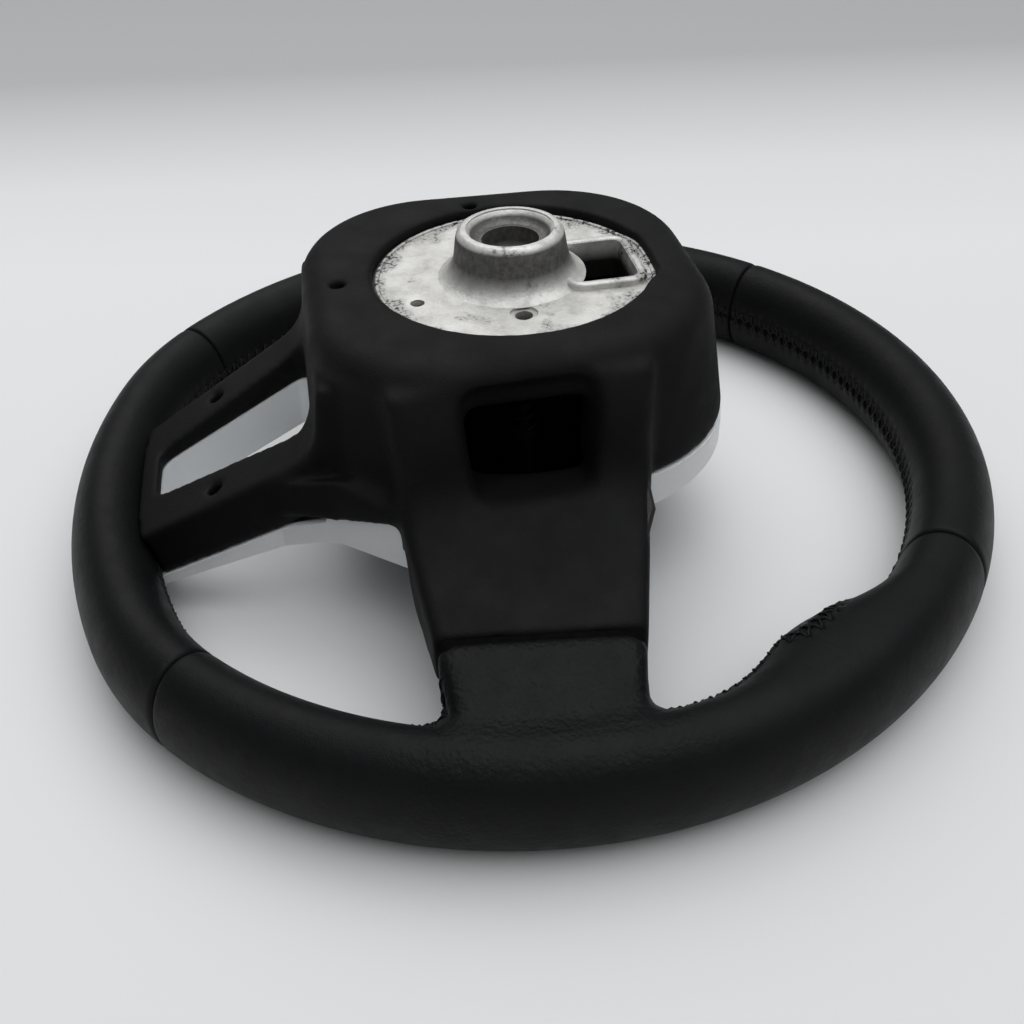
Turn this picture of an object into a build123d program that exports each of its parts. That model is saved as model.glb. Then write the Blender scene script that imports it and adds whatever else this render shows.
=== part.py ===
from build123d import *
import math
import os

# Car steering wheel lying face down. Lengths are in millimetres.
# +Y points to 12 o'clock, +X to the driver's left, +Z along the column away from the driver.
# Heights are measured from the rim's face plane; the finished pieces are moved so that the
# origin is the centre of the mouth of the boss's pilot bore, where the column's shaft enters.

# Grip rim
RIM_RADIUS = 185.0
GRIP_WIDTH = 30.4
GRIP_HEIGHT = 42.0
LEATHER = 1.3
SEAM_GAP = 0.6
TOP_SEAM_ANGLE = 38.0
FOOT_SEAM_ANGLE = 39.5
FOOT_FLAT = 7.0
FOOT_CORNER_RADIUS = 115.0
THUMB_REST_DEPTH = 13.0
THUMB_REST_ANGLE = 29.0
THUMB_REST_SPREAD = 18.0
THUMB_REST_STEPS = 8
CORE_RADIUS = 6.5

# Cast armature
BOSS_TOP = 125.0
BOSS_RADIUS = 19.1
BOSS_NECK_RADIUS = 20.0
BOSS_FOOT_FILLET = 7.0
BOSS_BAND_DROP = 3.0
BOSS_BAND_STEP = 0.6
BOSS_BAND_RISE = 1.0
LIP_RADIUS = 16.0
LIP_DEPTH = 4.5
LIP_ROUND = 1.86
PILOT_RADIUS = 10.5
PILOT_DEPTH = 8.0
SPLINE_TEETH = 40
SPLINE_ROOT_RADIUS = 9.4
SPLINE_TIP_RADIUS = 8.6
PLATE_TOP = 107.0
PLATE_RADIUS = 51.3
FLANGE_TOP = 100.0
FLANGE_THICKNESS = 6.0
FLANGE_RADIUS = 64.0
WINDOW_WIDTH = 31.0
WINDOW_LENGTH = 24.0
WINDOW_CENTRE_X = 2.3
WINDOW_CENTRE_Y = 32.0
WINDOW_CORNER = 4.0
WINDOW_BORDER = 7.0
WINDOW_BORDER_HEIGHT = 2.0
LOCATING_HOLE_RADIUS = 3.2
LOCATING_HOLE_X = 31.3
LOCATING_HOLE_Y = -1.4
LOCATING_SPOT_RADIUS = 5.0
LOCATING_SPOT_DEPTH = 1.0
SMALL_HOLE_RADIUS = 2.6
SMALL_HOLE_X = 14.9
SMALL_HOLE_Y = -36.8
BAR_WIDTH = 13.0
BAR_THICKNESS = 8.0
BAR_COVER = 4.0
BAR_CORNER = 2.0
BAR_ROOT_REACH = 30.0
BAR_ROOT_SPREAD = 0.8
BAR_BEND_IN = 2.0
BAR_BEND_OUT = 4.0
BAR_END_DEPTH = 1.0
BAR_SKIN = 6.0

# Moulded hub and spokes
DRUM_TOP = 111.0
DRUM_BOTTOM = 57.0
DRUM_HALF_WIDTH = 80.0
DRUM_HEAD_HALF = 67.0
DRUM_FOOT_REACH = 80.0
DRUM_HEAD_REACH = 77.0
DRUM_FOOT_CORNER = 50.0
DRUM_HEAD_CORNER = 60.0
DRUM_SIDE_DRAFT = 4.0
DRUM_FOOT_DRAFT = 3.5
DRUM_HEAD_DRAFT = 9.5
DRUM_TOP_FILLET = 11.0
CAVITY_RADIUS = 66.0
SPOKE_ROOT = 60.0
SPOKE_END = 134.0
SPOKE_END_LEAN = 7.0
SPOKE_END_TOP = 48.0
SPOKE_ROOT_TOP = 65.0
SPOKE_FRONT = 30.0
SPOKE_ROOT_FRONT = 47.0
SPOKE_ROOT_LOWER_Y = -56.0
SPOKE_ROOT_UPPER_Y = 38.0
SPOKE_END_LOWER_Y = -50.0
SPOKE_END_UPPER_Y = 17.0
SPOKE_EDGE_FILLET = 5.0
BUTTRESS_TOP = 98.0
BUTTRESS_RADIUS = 30.0
YOKE_BUTTRESS_RADIUS = 20.0
SPOKE_FRONT_RISE = 8.0
PORT_LOWER_Y = -28.0
PORT_UPPER_Y = 12.0
PORT_TOP = 103.0
PORT_CORNER = 4.0
PORT_DEPTH = 25.0
LEATHER_GROOVE = 1.0
TONGUE_REACH = 8.0
YOKE_ROOT_HALF = 50.0
YOKE_END_HALF = 37.5
YOKE_ROOT_TOP = 71.0
YOKE_END_TOP = 40.0
YOKE_END_Y = -142.0
YOKE_ROOT_DEPTH = 24.0
YOKE_END_DEPTH = 21.0
YOKE_WINDOW_ROOT_HALF = 29.0
YOKE_WINDOW_END_HALF = 14.5
YOKE_WINDOW_CORNER = 5.0
YOKE_GAP = 0.8
RELEASE_HOLE_RADIUS = 2.8
RELEASE_FOOT_Y = -64.0
RELEASE_SIDE_X = -55.0

# Front trim
TRIM_WALL = 2.4
TRIM_HEAD_FRONT = 46.0
TRIM_FOOT_FRONT = 38.0
TRIM_YOKE_FRONT = 15.0
TRIM_WINDOW_ROOT_TOP = 58.0
TRIM_WINDOW_END_TOP = 33.0
TRIM_GAP = 0.3
TRIM_WEB_REACH = 95.0
TRIM_WEB_RISE = 16.0
TRIM_WEB_LOW = 52.0
TRIM_WEB_HIGH = 34.0
TRIM_FOOT_REACH = 6.0
TRIM_BACK_RUN = 4.0
TRIM_FLANGE = 10.0
TRIM_SCREW_X = 31.5
TRIM_SCREW_Y = -118.0
TRIM_SCREW_HOLE = 2.9
TRIM_SCREW_HEAD = 2.6
TRIM_SCREW_HEAD_HEIGHT = 2.0
TRIM_SEAT_RISE = 1.0
TRIM_SCREW_SHANK = 1.5
TRIM_BOSS_RADIUS = 4.0

# Horn pad
HORN_TRAVEL = 3.0
COVER_GAP = 1.6
COVER_FRONT = 24.0
COVER_BACK = 49.0
COVER_WALL = 3.0
COVER_FRONT_FILLET = 13.0
CAN_RADIUS = 44.0
CAN_TOP = 84.0
CAN_WALL = 2.0
CAN_FLANGE_BACK = 47.0
CAN_FLANGE_THICKNESS = 2.5
CUSHION_GAP = 0.5
INFLATOR_RADIUS = 32.0
INFLATOR_HEIGHT = 30.0
INFLATOR_FLANGE = 6.0
PIN_RADIUS = 2.6
PIN_HEAD_RADIUS = 4.2
PIN_HEAD_THICKNESS = 2.4
PIN_CLEARANCE = 0.5
PIN_FOOT_Y = -59.0
PIN_SIDE_X = 57.0
PIN_SIDE_Y = -7.0
COLLAR_RADIUS = 5.2
COLLAR_TOP = 78.0
COLLAR_THICKNESS = 3.0
SPRING_RADIUS = 4.1
SPRING_WIRE = 0.6
SPRING_TURNS = 3
SEAT_GAP = 0.15
RUN_GAP = 0.35

# Switch packs on the side spokes
PACK_CENTRE_X = 108.0
PACK_CENTRE_Y = -16.0
PACK_WIDTH = 38.0
PACK_LENGTH = 50.0
PACK_CORNER = 5.0
PACK_FRONT = 24.0
PACK_DEPTH = 12.0
PACK_WALL = 2.2
BUTTON_WIDTH = 13.0
BUTTON_LENGTH = 12.0
BUTTON_PROUD = 1.6
BUTTON_HEIGHT = 5.0
BUTTON_LEDGE = 1.0
BUTTON_CORNER = 2.0
BUTTON_SPACING_X = 17.0
BUTTON_SPACING_Y = 15.0
ROLLER_RADIUS = 5.5
ROLLER_WIDTH = 9.0
ROLLER_PROUD = 2.0
ROLLER_RIBS = 18
ROLLER_RIB_DEPTH = 0.5
AXLE_RADIUS = 1.5
AXLE_LENGTH = 15.0
BOARD_THICKNESS = 1.6

# Worked out from the sizes above
GRIP_CENTRE_Z = GRIP_HEIGHT / 2
GRIP_CENTRE_RADIUS = RIM_RADIUS - GRIP_WIDTH / 2
SHAFT_MOUTH = BOSS_TOP - LIP_DEPTH
FLANGE_BOTTOM = FLANGE_TOP - FLANGE_THICKNESS
FLANGE_MIDDLE = FLANGE_TOP - FLANGE_THICKNESS / 2
FAR = 400.0
PAST = 1.0
UP = Vector(0, 0, 1)


def prism(face, low=-FAR, high=FAR):
    """A plan outline carried straight up from one height to another."""
    return extrude(Pos(0, 0, low) * face, high - low)


def across_x(points, rounded=(), reach=FAR):
    """A side view given as (y, z) points, carried along X; rounded holds (corner number, radius)."""
    return extrude(Plane.YZ * rounded_polygon(points, rounded), reach, both=True)


def across_y(points, rounded=(), reach=FAR):
    """A side view given as (x, z) points, carried along Y; rounded holds (corner number, radius)."""
    return extrude(Plane.XZ * rounded_polygon(points, rounded), reach, both=True)


def rounded_polygon(points, rounded=()):
    """A closed outline with some of its corners rounded."""
    face = make_face(Polyline(*points, close=True))
    for corner, radius in rounded:
        place = Vector(*points[corner], 0)
        vertex = face.vertices().sort_by_distance(place)[0]
        face = fillet(vertex, radius)
    return face


def post(x, y, radius, low, high):
    """An upright cylinder."""
    return Pos(x, y, (low + high) / 2) * Cylinder(radius, high - low)


def on_line(start, end, at):
    """The height at one place on the straight line between two (place, height) pairs."""
    return start[1] + (end[1] - start[1]) * (at - start[0]) / (end[0] - start[0])


def mirrored(solid):
    """The same piece on the driver's right."""
    return mirror(solid, Plane.YZ)


# Grip rim

def foot_path():
    """Centre line of the flattened foot: corner arc, flat arc, corner arc, tangent to the rim's circle."""
    radius = GRIP_CENTRE_RADIUS
    reach = radius - FOOT_CORNER_RADIUS
    half = math.radians(FOOT_SEAM_ANGLE)
    lowest = radius - FOOT_FLAT
    offset = reach * math.cos(half) - lowest
    flat_radius = (FOOT_CORNER_RADIUS ** 2 - offset ** 2 - (reach * math.sin(half)) ** 2)
    flat_radius = flat_radius / (2 * (offset + FOOT_CORNER_RADIUS))
    flat_centre = (0, flat_radius - lowest, GRIP_CENTRE_Z)
    corner = (reach * math.sin(half), -reach * math.cos(half), GRIP_CENTRE_Z)
    lean = math.degrees(math.atan2(corner[0], flat_centre[1] - corner[1]))
    turn = FOOT_SEAM_ANGLE - lean
    left = (-corner[0], corner[1], corner[2])
    arcs = [
        CenterArc(left, FOOT_CORNER_RADIUS, 270 - FOOT_SEAM_ANGLE, turn),
        CenterArc(flat_centre, flat_radius, 270 - lean, 2 * lean),
        CenterArc(corner, FOOT_CORNER_RADIUS, 270 + lean, turn),
    ]
    return Wire([arc.edge() for arc in arcs])


def radial_plane(angle):
    """The plane of the grip's section at an angle from +X, with its x axis pointing outwards."""
    turn = math.radians(angle)
    outwards = (math.cos(turn), math.sin(turn), 0)
    along = (-math.sin(turn), math.cos(turn), 0)
    origin = (GRIP_CENTRE_RADIUS * outwards[0], GRIP_CENTRE_RADIUS * outwards[1], GRIP_CENTRE_Z)
    return Plane(origin=origin, x_dir=outwards, z_dir=along)


def grip_section(angle, inset):
    """The grip's section, deeper on its inner side where the thumb rest is."""
    away = abs(angle - THUMB_REST_ANGLE) / THUMB_REST_SPREAD
    swell = THUMB_REST_DEPTH * math.cos(min(away, 1) * math.pi / 2) ** 2
    half_width = GRIP_WIDTH / 2 - inset
    half_height = GRIP_HEIGHT / 2 - inset
    outer = EllipticalCenterArc((0, 0), half_width, half_height, -90, arc_size=180)
    inner = EllipticalCenterArc((0, 0), half_width + swell, half_height, 90, arc_size=180)
    return radial_plane(angle) * make_face([outer.edge(), inner.edge()])


def arc_tube(first, last, inset):
    """A plain round stretch of the grip between two angles from +X."""
    section = Ellipse(GRIP_WIDTH / 2 - inset, GRIP_HEIGHT / 2 - inset)
    return revolve(radial_plane(first) * section, Axis.Z, last - first)


def side_tube(inset, gap):
    """The grip between the foot seam and the top seam on the driver's left, thumb rest included."""
    turn = math.degrees(gap / 2 / GRIP_CENTRE_RADIUS)
    low = THUMB_REST_ANGLE - THUMB_REST_SPREAD
    high = THUMB_REST_ANGLE + THUMB_REST_SPREAD
    angles = [low + (high - low) * step / THUMB_REST_STEPS for step in range(THUMB_REST_STEPS + 1)]
    swollen = loft([grip_section(angle, inset) for angle in angles])
    lower = arc_tube(FOOT_SEAM_ANGLE - 90 + turn, low, inset)
    upper = arc_tube(high, 90 - TOP_SEAM_ANGLE - turn, inset)
    return lower + swollen + upper


def top_tube(inset, gap):
    """The grip over 12 o'clock between the two top seams."""
    turn = math.degrees(gap / 2 / GRIP_CENTRE_RADIUS)
    return arc_tube(90 - TOP_SEAM_ANGLE + turn, 90 + TOP_SEAM_ANGLE - turn, inset)


def foot_tube(inset):
    """The flattened grip at 6 o'clock between the two foot seams."""
    section = Ellipse(GRIP_WIDTH / 2 - inset, GRIP_HEIGHT / 2 - inset)
    start = radial_plane(270 - FOOT_SEAM_ANGLE)
    return sweep(start * section, foot_path())


def tongue(inset, shift):
    """The leather-covered end of the left spoke where it runs into the grip."""
    start = SPOKE_END - 2 * SPOKE_END_LEAN
    end = GRIP_CENTRE_RADIUS - TONGUE_REACH
    side = across_y([
        (start, spoke_top(start) - inset),
        (end, spoke_top(end) - inset),
        (end, GRIP_CENTRE_Z - GRIP_HEIGHT / 4),
        (SPOKE_END + LEATHER_GROOVE, SPOKE_FRONT + inset),
        (start, SPOKE_FRONT + inset),
    ])
    solid = side & spoke_plan(CAVITY_RADIUS, inset) & beyond_spoke_end(shift)
    long_edges = [edge for edge in solid.edges() if abs(edge.tangent_at(0.5).X) > 0.5]
    return fillet(long_edges, SPOKE_EDGE_FILLET - inset)


def side_grip(inset, gap, shift):
    """Side grip with its spoke tongue."""
    return side_tube(inset, gap) + tongue(inset, shift)


def leather_side():
    """The sewn leather panel on the driver's left."""
    return side_grip(0, SEAM_GAP, 0) - side_grip(LEATHER, 0, -LEATHER_GROOVE)


def leather_top():
    """The sewn leather panel over 12 o'clock."""
    return top_tube(0, SEAM_GAP) - top_tube(LEATHER, 0)


def leather_foot(cast):
    """The sewn leather panel at 6 o'clock, slit where the armature's arms go through."""
    return foot_tube(0) - foot_tube(LEATHER) - cast


def rim_padding(cast):
    """The foam cast round the rim core, under the leather."""
    left = side_grip(LEATHER, 0, -LEATHER_GROOVE)
    foam = left + mirrored(left) + top_tube(LEATHER, 0) + foot_tube(LEATHER)
    return foam - cast


# Armature

def bar(points):
    """A flat cast bar that follows a line of points."""
    path = Polyline(*points)
    start = Vector(*points[0])
    along = (Vector(*points[1]) - start).normalized()
    flat = along.cross(UP).normalized()
    section = RectangleRounded(BAR_WIDTH, BAR_THICKNESS, BAR_CORNER)
    place = Plane(origin=start, x_dir=flat, z_dir=along)
    return sweep(place * section, path, transition=Transition.RIGHT)


def side_bar(root_y, end_y):
    """One of the two bars in the left spoke, from the hub flange to the rim core."""
    rim_x = math.sqrt(GRIP_CENTRE_RADIUS ** 2 - end_y ** 2)
    drop_x = (CAVITY_RADIUS + DRUM_HALF_WIDTH - BAR_THICKNESS) / 2
    low = SPOKE_ROOT_TOP - BAR_THICKNESS
    end_z = SPOKE_END_TOP - BAR_THICKNESS - BAR_END_DEPTH
    return bar([
        (drop_x - BAR_ROOT_REACH, root_y * BAR_ROOT_SPREAD, FLANGE_MIDDLE),
        (drop_x - BAR_BEND_IN, root_y, FLANGE_MIDDLE),
        (drop_x + BAR_BEND_OUT, root_y, low + BAR_THICKNESS),
        (DRUM_HALF_WIDTH + BAR_SKIN, root_y, low),
        (SPOKE_END, end_y, end_z),
        (rim_x, end_y, GRIP_CENTRE_Z),
    ])


def yoke_middle(y):
    """Half the distance between the two arms' middles at one place along them."""
    outer = on_line((-DRUM_FOOT_REACH, YOKE_ROOT_HALF), (YOKE_END_Y, YOKE_END_HALF), y)
    inner = on_line((-DRUM_FOOT_REACH, YOKE_WINDOW_ROOT_HALF), (YOKE_END_Y, YOKE_WINDOW_END_HALF), y)
    return (outer + inner) / 2


def yoke_bar_height(y):
    """Height of the middle of the bar inside each arm of the split spoke."""
    top = on_line((-DRUM_FOOT_REACH, YOKE_ROOT_TOP), (YOKE_END_Y, YOKE_END_TOP), y)
    depth = on_line((-DRUM_FOOT_REACH, YOKE_ROOT_DEPTH), (YOKE_END_Y, YOKE_END_DEPTH), y)
    return top - depth / 2


def yoke_bar():
    """The bar in the left arm of the split spoke."""
    root = -DRUM_FOOT_REACH - BAR_SKIN
    drop_y = (BAR_THICKNESS - CAVITY_RADIUS - DRUM_FOOT_REACH) / 2
    rim_y = FOOT_FLAT - GRIP_CENTRE_RADIUS
    return bar([
        (yoke_middle(root) * BAR_ROOT_SPREAD, drop_y + BAR_ROOT_REACH, FLANGE_MIDDLE),
        (yoke_middle(root), drop_y + BAR_BEND_IN, FLANGE_MIDDLE),
        (yoke_middle(root), drop_y - BAR_BEND_IN, yoke_bar_height(root) + BAR_THICKNESS),
        (yoke_middle(root), root, yoke_bar_height(root)),
        (yoke_middle(YOKE_END_Y), YOKE_END_Y, yoke_bar_height(YOKE_END_Y)),
        (yoke_middle(YOKE_END_Y), rim_y, GRIP_CENTRE_Z),
    ])


def rim_core():
    """The cast rod inside the grip."""
    section = Circle(CORE_RADIUS)
    foot = sweep(radial_plane(270 - FOOT_SEAM_ANGLE) * section, foot_path())
    rest = revolve(radial_plane(FOOT_SEAM_ANGLE - 90) * section, Axis.Z, 360 - 2 * FOOT_SEAM_ANGLE)
    return foot + rest


def window_outline(grow=0.0):
    """Plan of the hub plate's window."""
    size = (WINDOW_WIDTH + 2 * grow, WINDOW_LENGTH + 2 * grow)
    return Pos(WINDOW_CENTRE_X, WINDOW_CENTRE_Y) * RectangleRounded(*size, WINDOW_CORNER + grow)


def plate_outline():
    """Plan of the machined hub plate with the lobe that carries the window's border."""
    return Circle(PLATE_RADIUS) + window_outline(WINDOW_BORDER)


def boss():
    """The shaft boss with its rounded lip and its fillet into the plate."""
    band = SHAFT_MOUTH - BOSS_BAND_DROP
    points = [
        (0, PLATE_TOP - PAST),
        (BOSS_NECK_RADIUS + BOSS_FOOT_FILLET, PLATE_TOP - PAST),
        (BOSS_NECK_RADIUS + BOSS_FOOT_FILLET, PLATE_TOP),
        (BOSS_NECK_RADIUS, PLATE_TOP),
        (BOSS_RADIUS - BOSS_BAND_STEP, band),
        (BOSS_RADIUS, band + BOSS_BAND_RISE),
        (BOSS_RADIUS, BOSS_TOP),
        (0, BOSS_TOP),
    ]
    rounds = [(3, BOSS_FOOT_FILLET), (6, LIP_ROUND)]
    return revolve(Plane.XZ * rounded_polygon(points, rounds), Axis.Z)


def spline_outline():
    """Plan of the toothed bore."""
    points = []
    for step in range(2 * SPLINE_TEETH):
        radius = SPLINE_TIP_RADIUS if step % 2 else SPLINE_ROOT_RADIUS
        turn = math.pi * step / SPLINE_TEETH
        points.append((radius * math.cos(turn), radius * math.sin(turn)))
    return make_face(Polyline(*points, close=True))


def pin_places():
    """Places of the horn pad's guide pins."""
    return [(0, PIN_FOOT_Y), (-PIN_SIDE_X, PIN_SIDE_Y), (PIN_SIDE_X, PIN_SIDE_Y)]


def hub_casting():
    """Hub of the armature: flange, plate, window border, boss and their holes."""
    cast = post(0, 0, FLANGE_RADIUS, FLANGE_BOTTOM, FLANGE_TOP)
    cast += prism(plate_outline(), FLANGE_BOTTOM, PLATE_TOP)
    border = window_outline(WINDOW_BORDER / 2)
    cast += prism(border, FLANGE_BOTTOM, PLATE_TOP + WINDOW_BORDER_HEIGHT)
    cast += boss()
    cast -= prism(window_outline())
    cast -= post(0, 0, LIP_RADIUS, SHAFT_MOUTH, BOSS_TOP + PAST)
    cast -= post(0, 0, PILOT_RADIUS, SHAFT_MOUTH - PILOT_DEPTH, BOSS_TOP)
    cast -= prism(spline_outline())
    low = FLANGE_BOTTOM - PAST
    high = PLATE_TOP + PAST
    spot = PLATE_TOP - LOCATING_SPOT_DEPTH
    cast -= post(LOCATING_HOLE_X, LOCATING_HOLE_Y, LOCATING_HOLE_RADIUS, low, high)
    cast -= post(LOCATING_HOLE_X, LOCATING_HOLE_Y, LOCATING_SPOT_RADIUS, spot, high)
    cast -= post(SMALL_HOLE_X, SMALL_HOLE_Y, SMALL_HOLE_RADIUS, low, high)
    for x, y in pin_places():
        cast -= post(x, y, PIN_RADIUS + PIN_CLEARANCE, low, FLANGE_TOP + PAST)
    return cast


def screw_seat():
    """Height of the seat that each trim screw's head rests on, in the arm's bar."""
    return yoke_bar_height(TRIM_SCREW_Y) + TRIM_SEAT_RISE


def armature():
    """The whole casting: hub, spoke bars and rim core."""
    left = [
        side_bar((SPOKE_ROOT_LOWER_Y + PORT_LOWER_Y) / 2, SPOKE_END_LOWER_Y + BAR_WIDTH + BAR_COVER),
        side_bar((SPOKE_ROOT_UPPER_Y + PORT_UPPER_Y) / 2, SPOKE_END_UPPER_Y - BAR_WIDTH - BAR_COVER),
        yoke_bar(),
    ]
    cast = hub_casting() + rim_core()
    for piece in left:
        cast += piece
        cast += mirrored(piece)
    for sign in (-1, 1):
        x = sign * TRIM_SCREW_X
        cast -= post(x, TRIM_SCREW_Y, TRIM_SCREW_HOLE, screw_seat(), DRUM_TOP)
        cast -= post(x, TRIM_SCREW_Y, TRIM_SCREW_SHANK + PIN_CLEARANCE, 0, DRUM_TOP)
    return cast


# Moulded hub and spokes

def drum_outline(share, inset=0.0):
    """Plan of the hub drum, from its lower edge (share 0) to its top (share 1)."""
    foot_half = DRUM_HALF_WIDTH - DRUM_SIDE_DRAFT * share
    low = DRUM_FOOT_DRAFT * share - DRUM_FOOT_REACH
    high = DRUM_HEAD_REACH - DRUM_HEAD_DRAFT * share
    head_corner = DRUM_HEAD_CORNER - DRUM_HEAD_DRAFT * share
    points = [(foot_half, low), (DRUM_HEAD_HALF, high), (-DRUM_HEAD_HALF, high), (-foot_half, low)]
    rounds = [(0, DRUM_FOOT_CORNER), (1, head_corner), (2, head_corner), (3, DRUM_FOOT_CORNER)]
    outline = rounded_polygon(points, rounds)
    return offset(outline, -inset) if inset else outline


def drum():
    """The hub drum with its drafted wall and rounded top edge."""
    solid = loft([Pos(0, 0, DRUM_BOTTOM) * drum_outline(0), Pos(0, 0, DRUM_TOP) * drum_outline(1)])
    top = solid.faces().sort_by(Axis.Z)[-1]
    return fillet(top.edges(), DRUM_TOP_FILLET)


def flank(x, inset=0.0):
    """The lower and upper flank of the left spoke at one distance from the wheel's middle."""
    lower = on_line((SPOKE_ROOT, SPOKE_ROOT_LOWER_Y), (SPOKE_END, SPOKE_END_LOWER_Y), x) + inset
    upper = on_line((SPOKE_ROOT, SPOKE_ROOT_UPPER_Y), (SPOKE_END, SPOKE_END_UPPER_Y), x) - inset
    return (x, lower), (x, upper)


def spoke_top(x):
    """Height of the left spoke's back at one distance from the wheel's middle."""
    return on_line((DRUM_HALF_WIDTH, SPOKE_ROOT_TOP), (SPOKE_END, SPOKE_END_TOP), x)


def spoke_plan(root, inset=0.0):
    """Plan of the left spoke from its root to the middle of the grip, narrowing towards the rim."""
    corners = flank(root, inset) + flank(GRIP_CENTRE_RADIUS, inset)[::-1]
    return prism(make_face(Polyline(*corners, close=True)))


def beyond_spoke_end(shift):
    """Everything outside the slanted line where the moulded spoke ends and the leather begins."""
    lower = Vector(*flank(SPOKE_END - SPOKE_END_LEAN + shift)[0])
    upper = Vector(*flank(SPOKE_END + shift)[1])
    below = lower * 2 - upper
    above = upper * 2 - lower
    return prism(make_face(Polyline(below, (FAR, below.Y), (FAR, above.Y), above, close=True)))


def side_spoke():
    """The left spoke with the two buttresses that rise to the drum beside its port."""
    root = DRUM_HALF_WIDTH - TRIM_FLANGE
    wall = DRUM_HALF_WIDTH - DRUM_SIDE_DRAFT
    side = across_y([
        (root, BUTTRESS_TOP),
        (wall, BUTTRESS_TOP),
        (DRUM_HALF_WIDTH, SPOKE_ROOT_TOP),
        (SPOKE_END, SPOKE_END_TOP),
        (SPOKE_END, SPOKE_FRONT),
        (DRUM_HALF_WIDTH + SPOKE_FRONT_RISE, SPOKE_FRONT),
        (DRUM_HALF_WIDTH, SPOKE_ROOT_FRONT),
        (root, SPOKE_ROOT_FRONT),
    ], [(2, BUTTRESS_RADIUS)])
    solid = (side & spoke_plan(root)) - beyond_spoke_end(-LEATHER_GROOVE)
    flanks = solid.faces().filter_by(lambda face: abs(face.normal_at().Y) > 0.9)
    edges = [
        edge for face in flanks for edge in face.edges()
        if edge.center().Z > SPOKE_ROOT_FRONT and edge.center().X > wall and edge.length > BUTTRESS_RADIUS / 2
    ]
    return fillet(edges, SPOKE_EDGE_FILLET)


def spoke_port():
    """The port in the hub's wall between the left spoke's two buttresses."""
    inner = CAVITY_RADIUS - PORT_DEPTH
    outer = DRUM_HALF_WIDTH + BUTTRESS_RADIUS
    side = across_y([
        (inner, PORT_TOP),
        (outer, PORT_TOP),
        (outer, spoke_top(outer)),
        (DRUM_HALF_WIDTH, SPOKE_ROOT_TOP),
        (inner, SPOKE_ROOT_TOP),
    ])
    width = PORT_UPPER_Y - PORT_LOWER_Y
    front = RectangleRounded(width, 2 * (PORT_TOP - SPOKE_ROOT_TOP), PORT_CORNER)
    hole = extrude(Plane.YZ * (Pos((PORT_UPPER_Y + PORT_LOWER_Y) / 2, SPOKE_ROOT_TOP) * front), FAR)
    return side & hole


def pack_pocket():
    """The recess in the left spoke's front for the switch pack."""
    plan = Pos(PACK_CENTRE_X, PACK_CENTRE_Y) * RectangleRounded(PACK_WIDTH, PACK_LENGTH, PACK_CORNER)
    return prism(plan, 0, PACK_FRONT + PACK_DEPTH)


def yoke_window(grow=0.0):
    """Plan of the opening between the two arms of the split spoke."""
    root = -DRUM_FOOT_REACH
    points = [
        (YOKE_WINDOW_ROOT_HALF + grow, root + grow),
        (YOKE_WINDOW_END_HALF + grow, YOKE_END_Y - grow),
        (-YOKE_WINDOW_END_HALF - grow, YOKE_END_Y - grow),
        (-YOKE_WINDOW_ROOT_HALF - grow, root + grow),
    ]
    radius = YOKE_WINDOW_CORNER + grow
    return rounded_polygon(points, [(corner, radius) for corner in range(4)])


def yoke_plan(root, end, inset=0.0):
    """Plan of the split spoke's outer edges between two places along it."""
    start = (-DRUM_FOOT_REACH, YOKE_ROOT_HALF)
    finish = (YOKE_END_Y, YOKE_END_HALF)
    root_half = on_line(start, finish, root) - inset
    end_half = on_line(start, finish, end) - inset
    points = [(root_half, root), (end_half, end), (-end_half, end), (-root_half, root)]
    return make_face(Polyline(*points, close=True))


def yoke():
    """The split lower spoke: two arms that fall from the drum to the foot of the rim."""
    root = TRIM_FLANGE - DRUM_FOOT_REACH
    end = FOOT_FLAT - GRIP_CENTRE_RADIUS
    top_start = (-DRUM_FOOT_REACH, YOKE_ROOT_TOP)
    top_end = (YOKE_END_Y, YOKE_END_TOP)
    front_start = (-DRUM_FOOT_REACH, YOKE_ROOT_TOP - YOKE_ROOT_DEPTH)
    front_end = (YOKE_END_Y, YOKE_END_TOP - YOKE_END_DEPTH)
    side = across_x([
        (root, BUTTRESS_TOP),
        (DRUM_FOOT_DRAFT - DRUM_FOOT_REACH, BUTTRESS_TOP),
        top_start,
        (end, on_line(top_start, top_end, end)),
        (end, on_line(front_start, front_end, end)),
        front_start,
        (root, front_start[1]),
    ], [(2, YOKE_BUTTRESS_RADIUS)])
    solid = side & prism(yoke_plan(root, end))
    solid -= prism(yoke_window())
    solid -= foot_tube(-YOKE_GAP)
    return solid


def window_rebate():
    """The step in the arms' inner sides that the trim's window wall sits in."""
    start = (-DRUM_FOOT_REACH, TRIM_WINDOW_ROOT_TOP)
    finish = (YOKE_END_Y, TRIM_WINDOW_END_TOP)
    ends = (TRIM_WALL - DRUM_FOOT_REACH + PAST, YOKE_END_Y - TRIM_WALL - PAST)
    top = [(y, on_line(start, finish, y) + TRIM_GAP) for y in ends]
    side = across_x(top + [(ends[1], 0), (ends[0], 0)])
    return side & prism(yoke_window(TRIM_WALL + TRIM_GAP))


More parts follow.
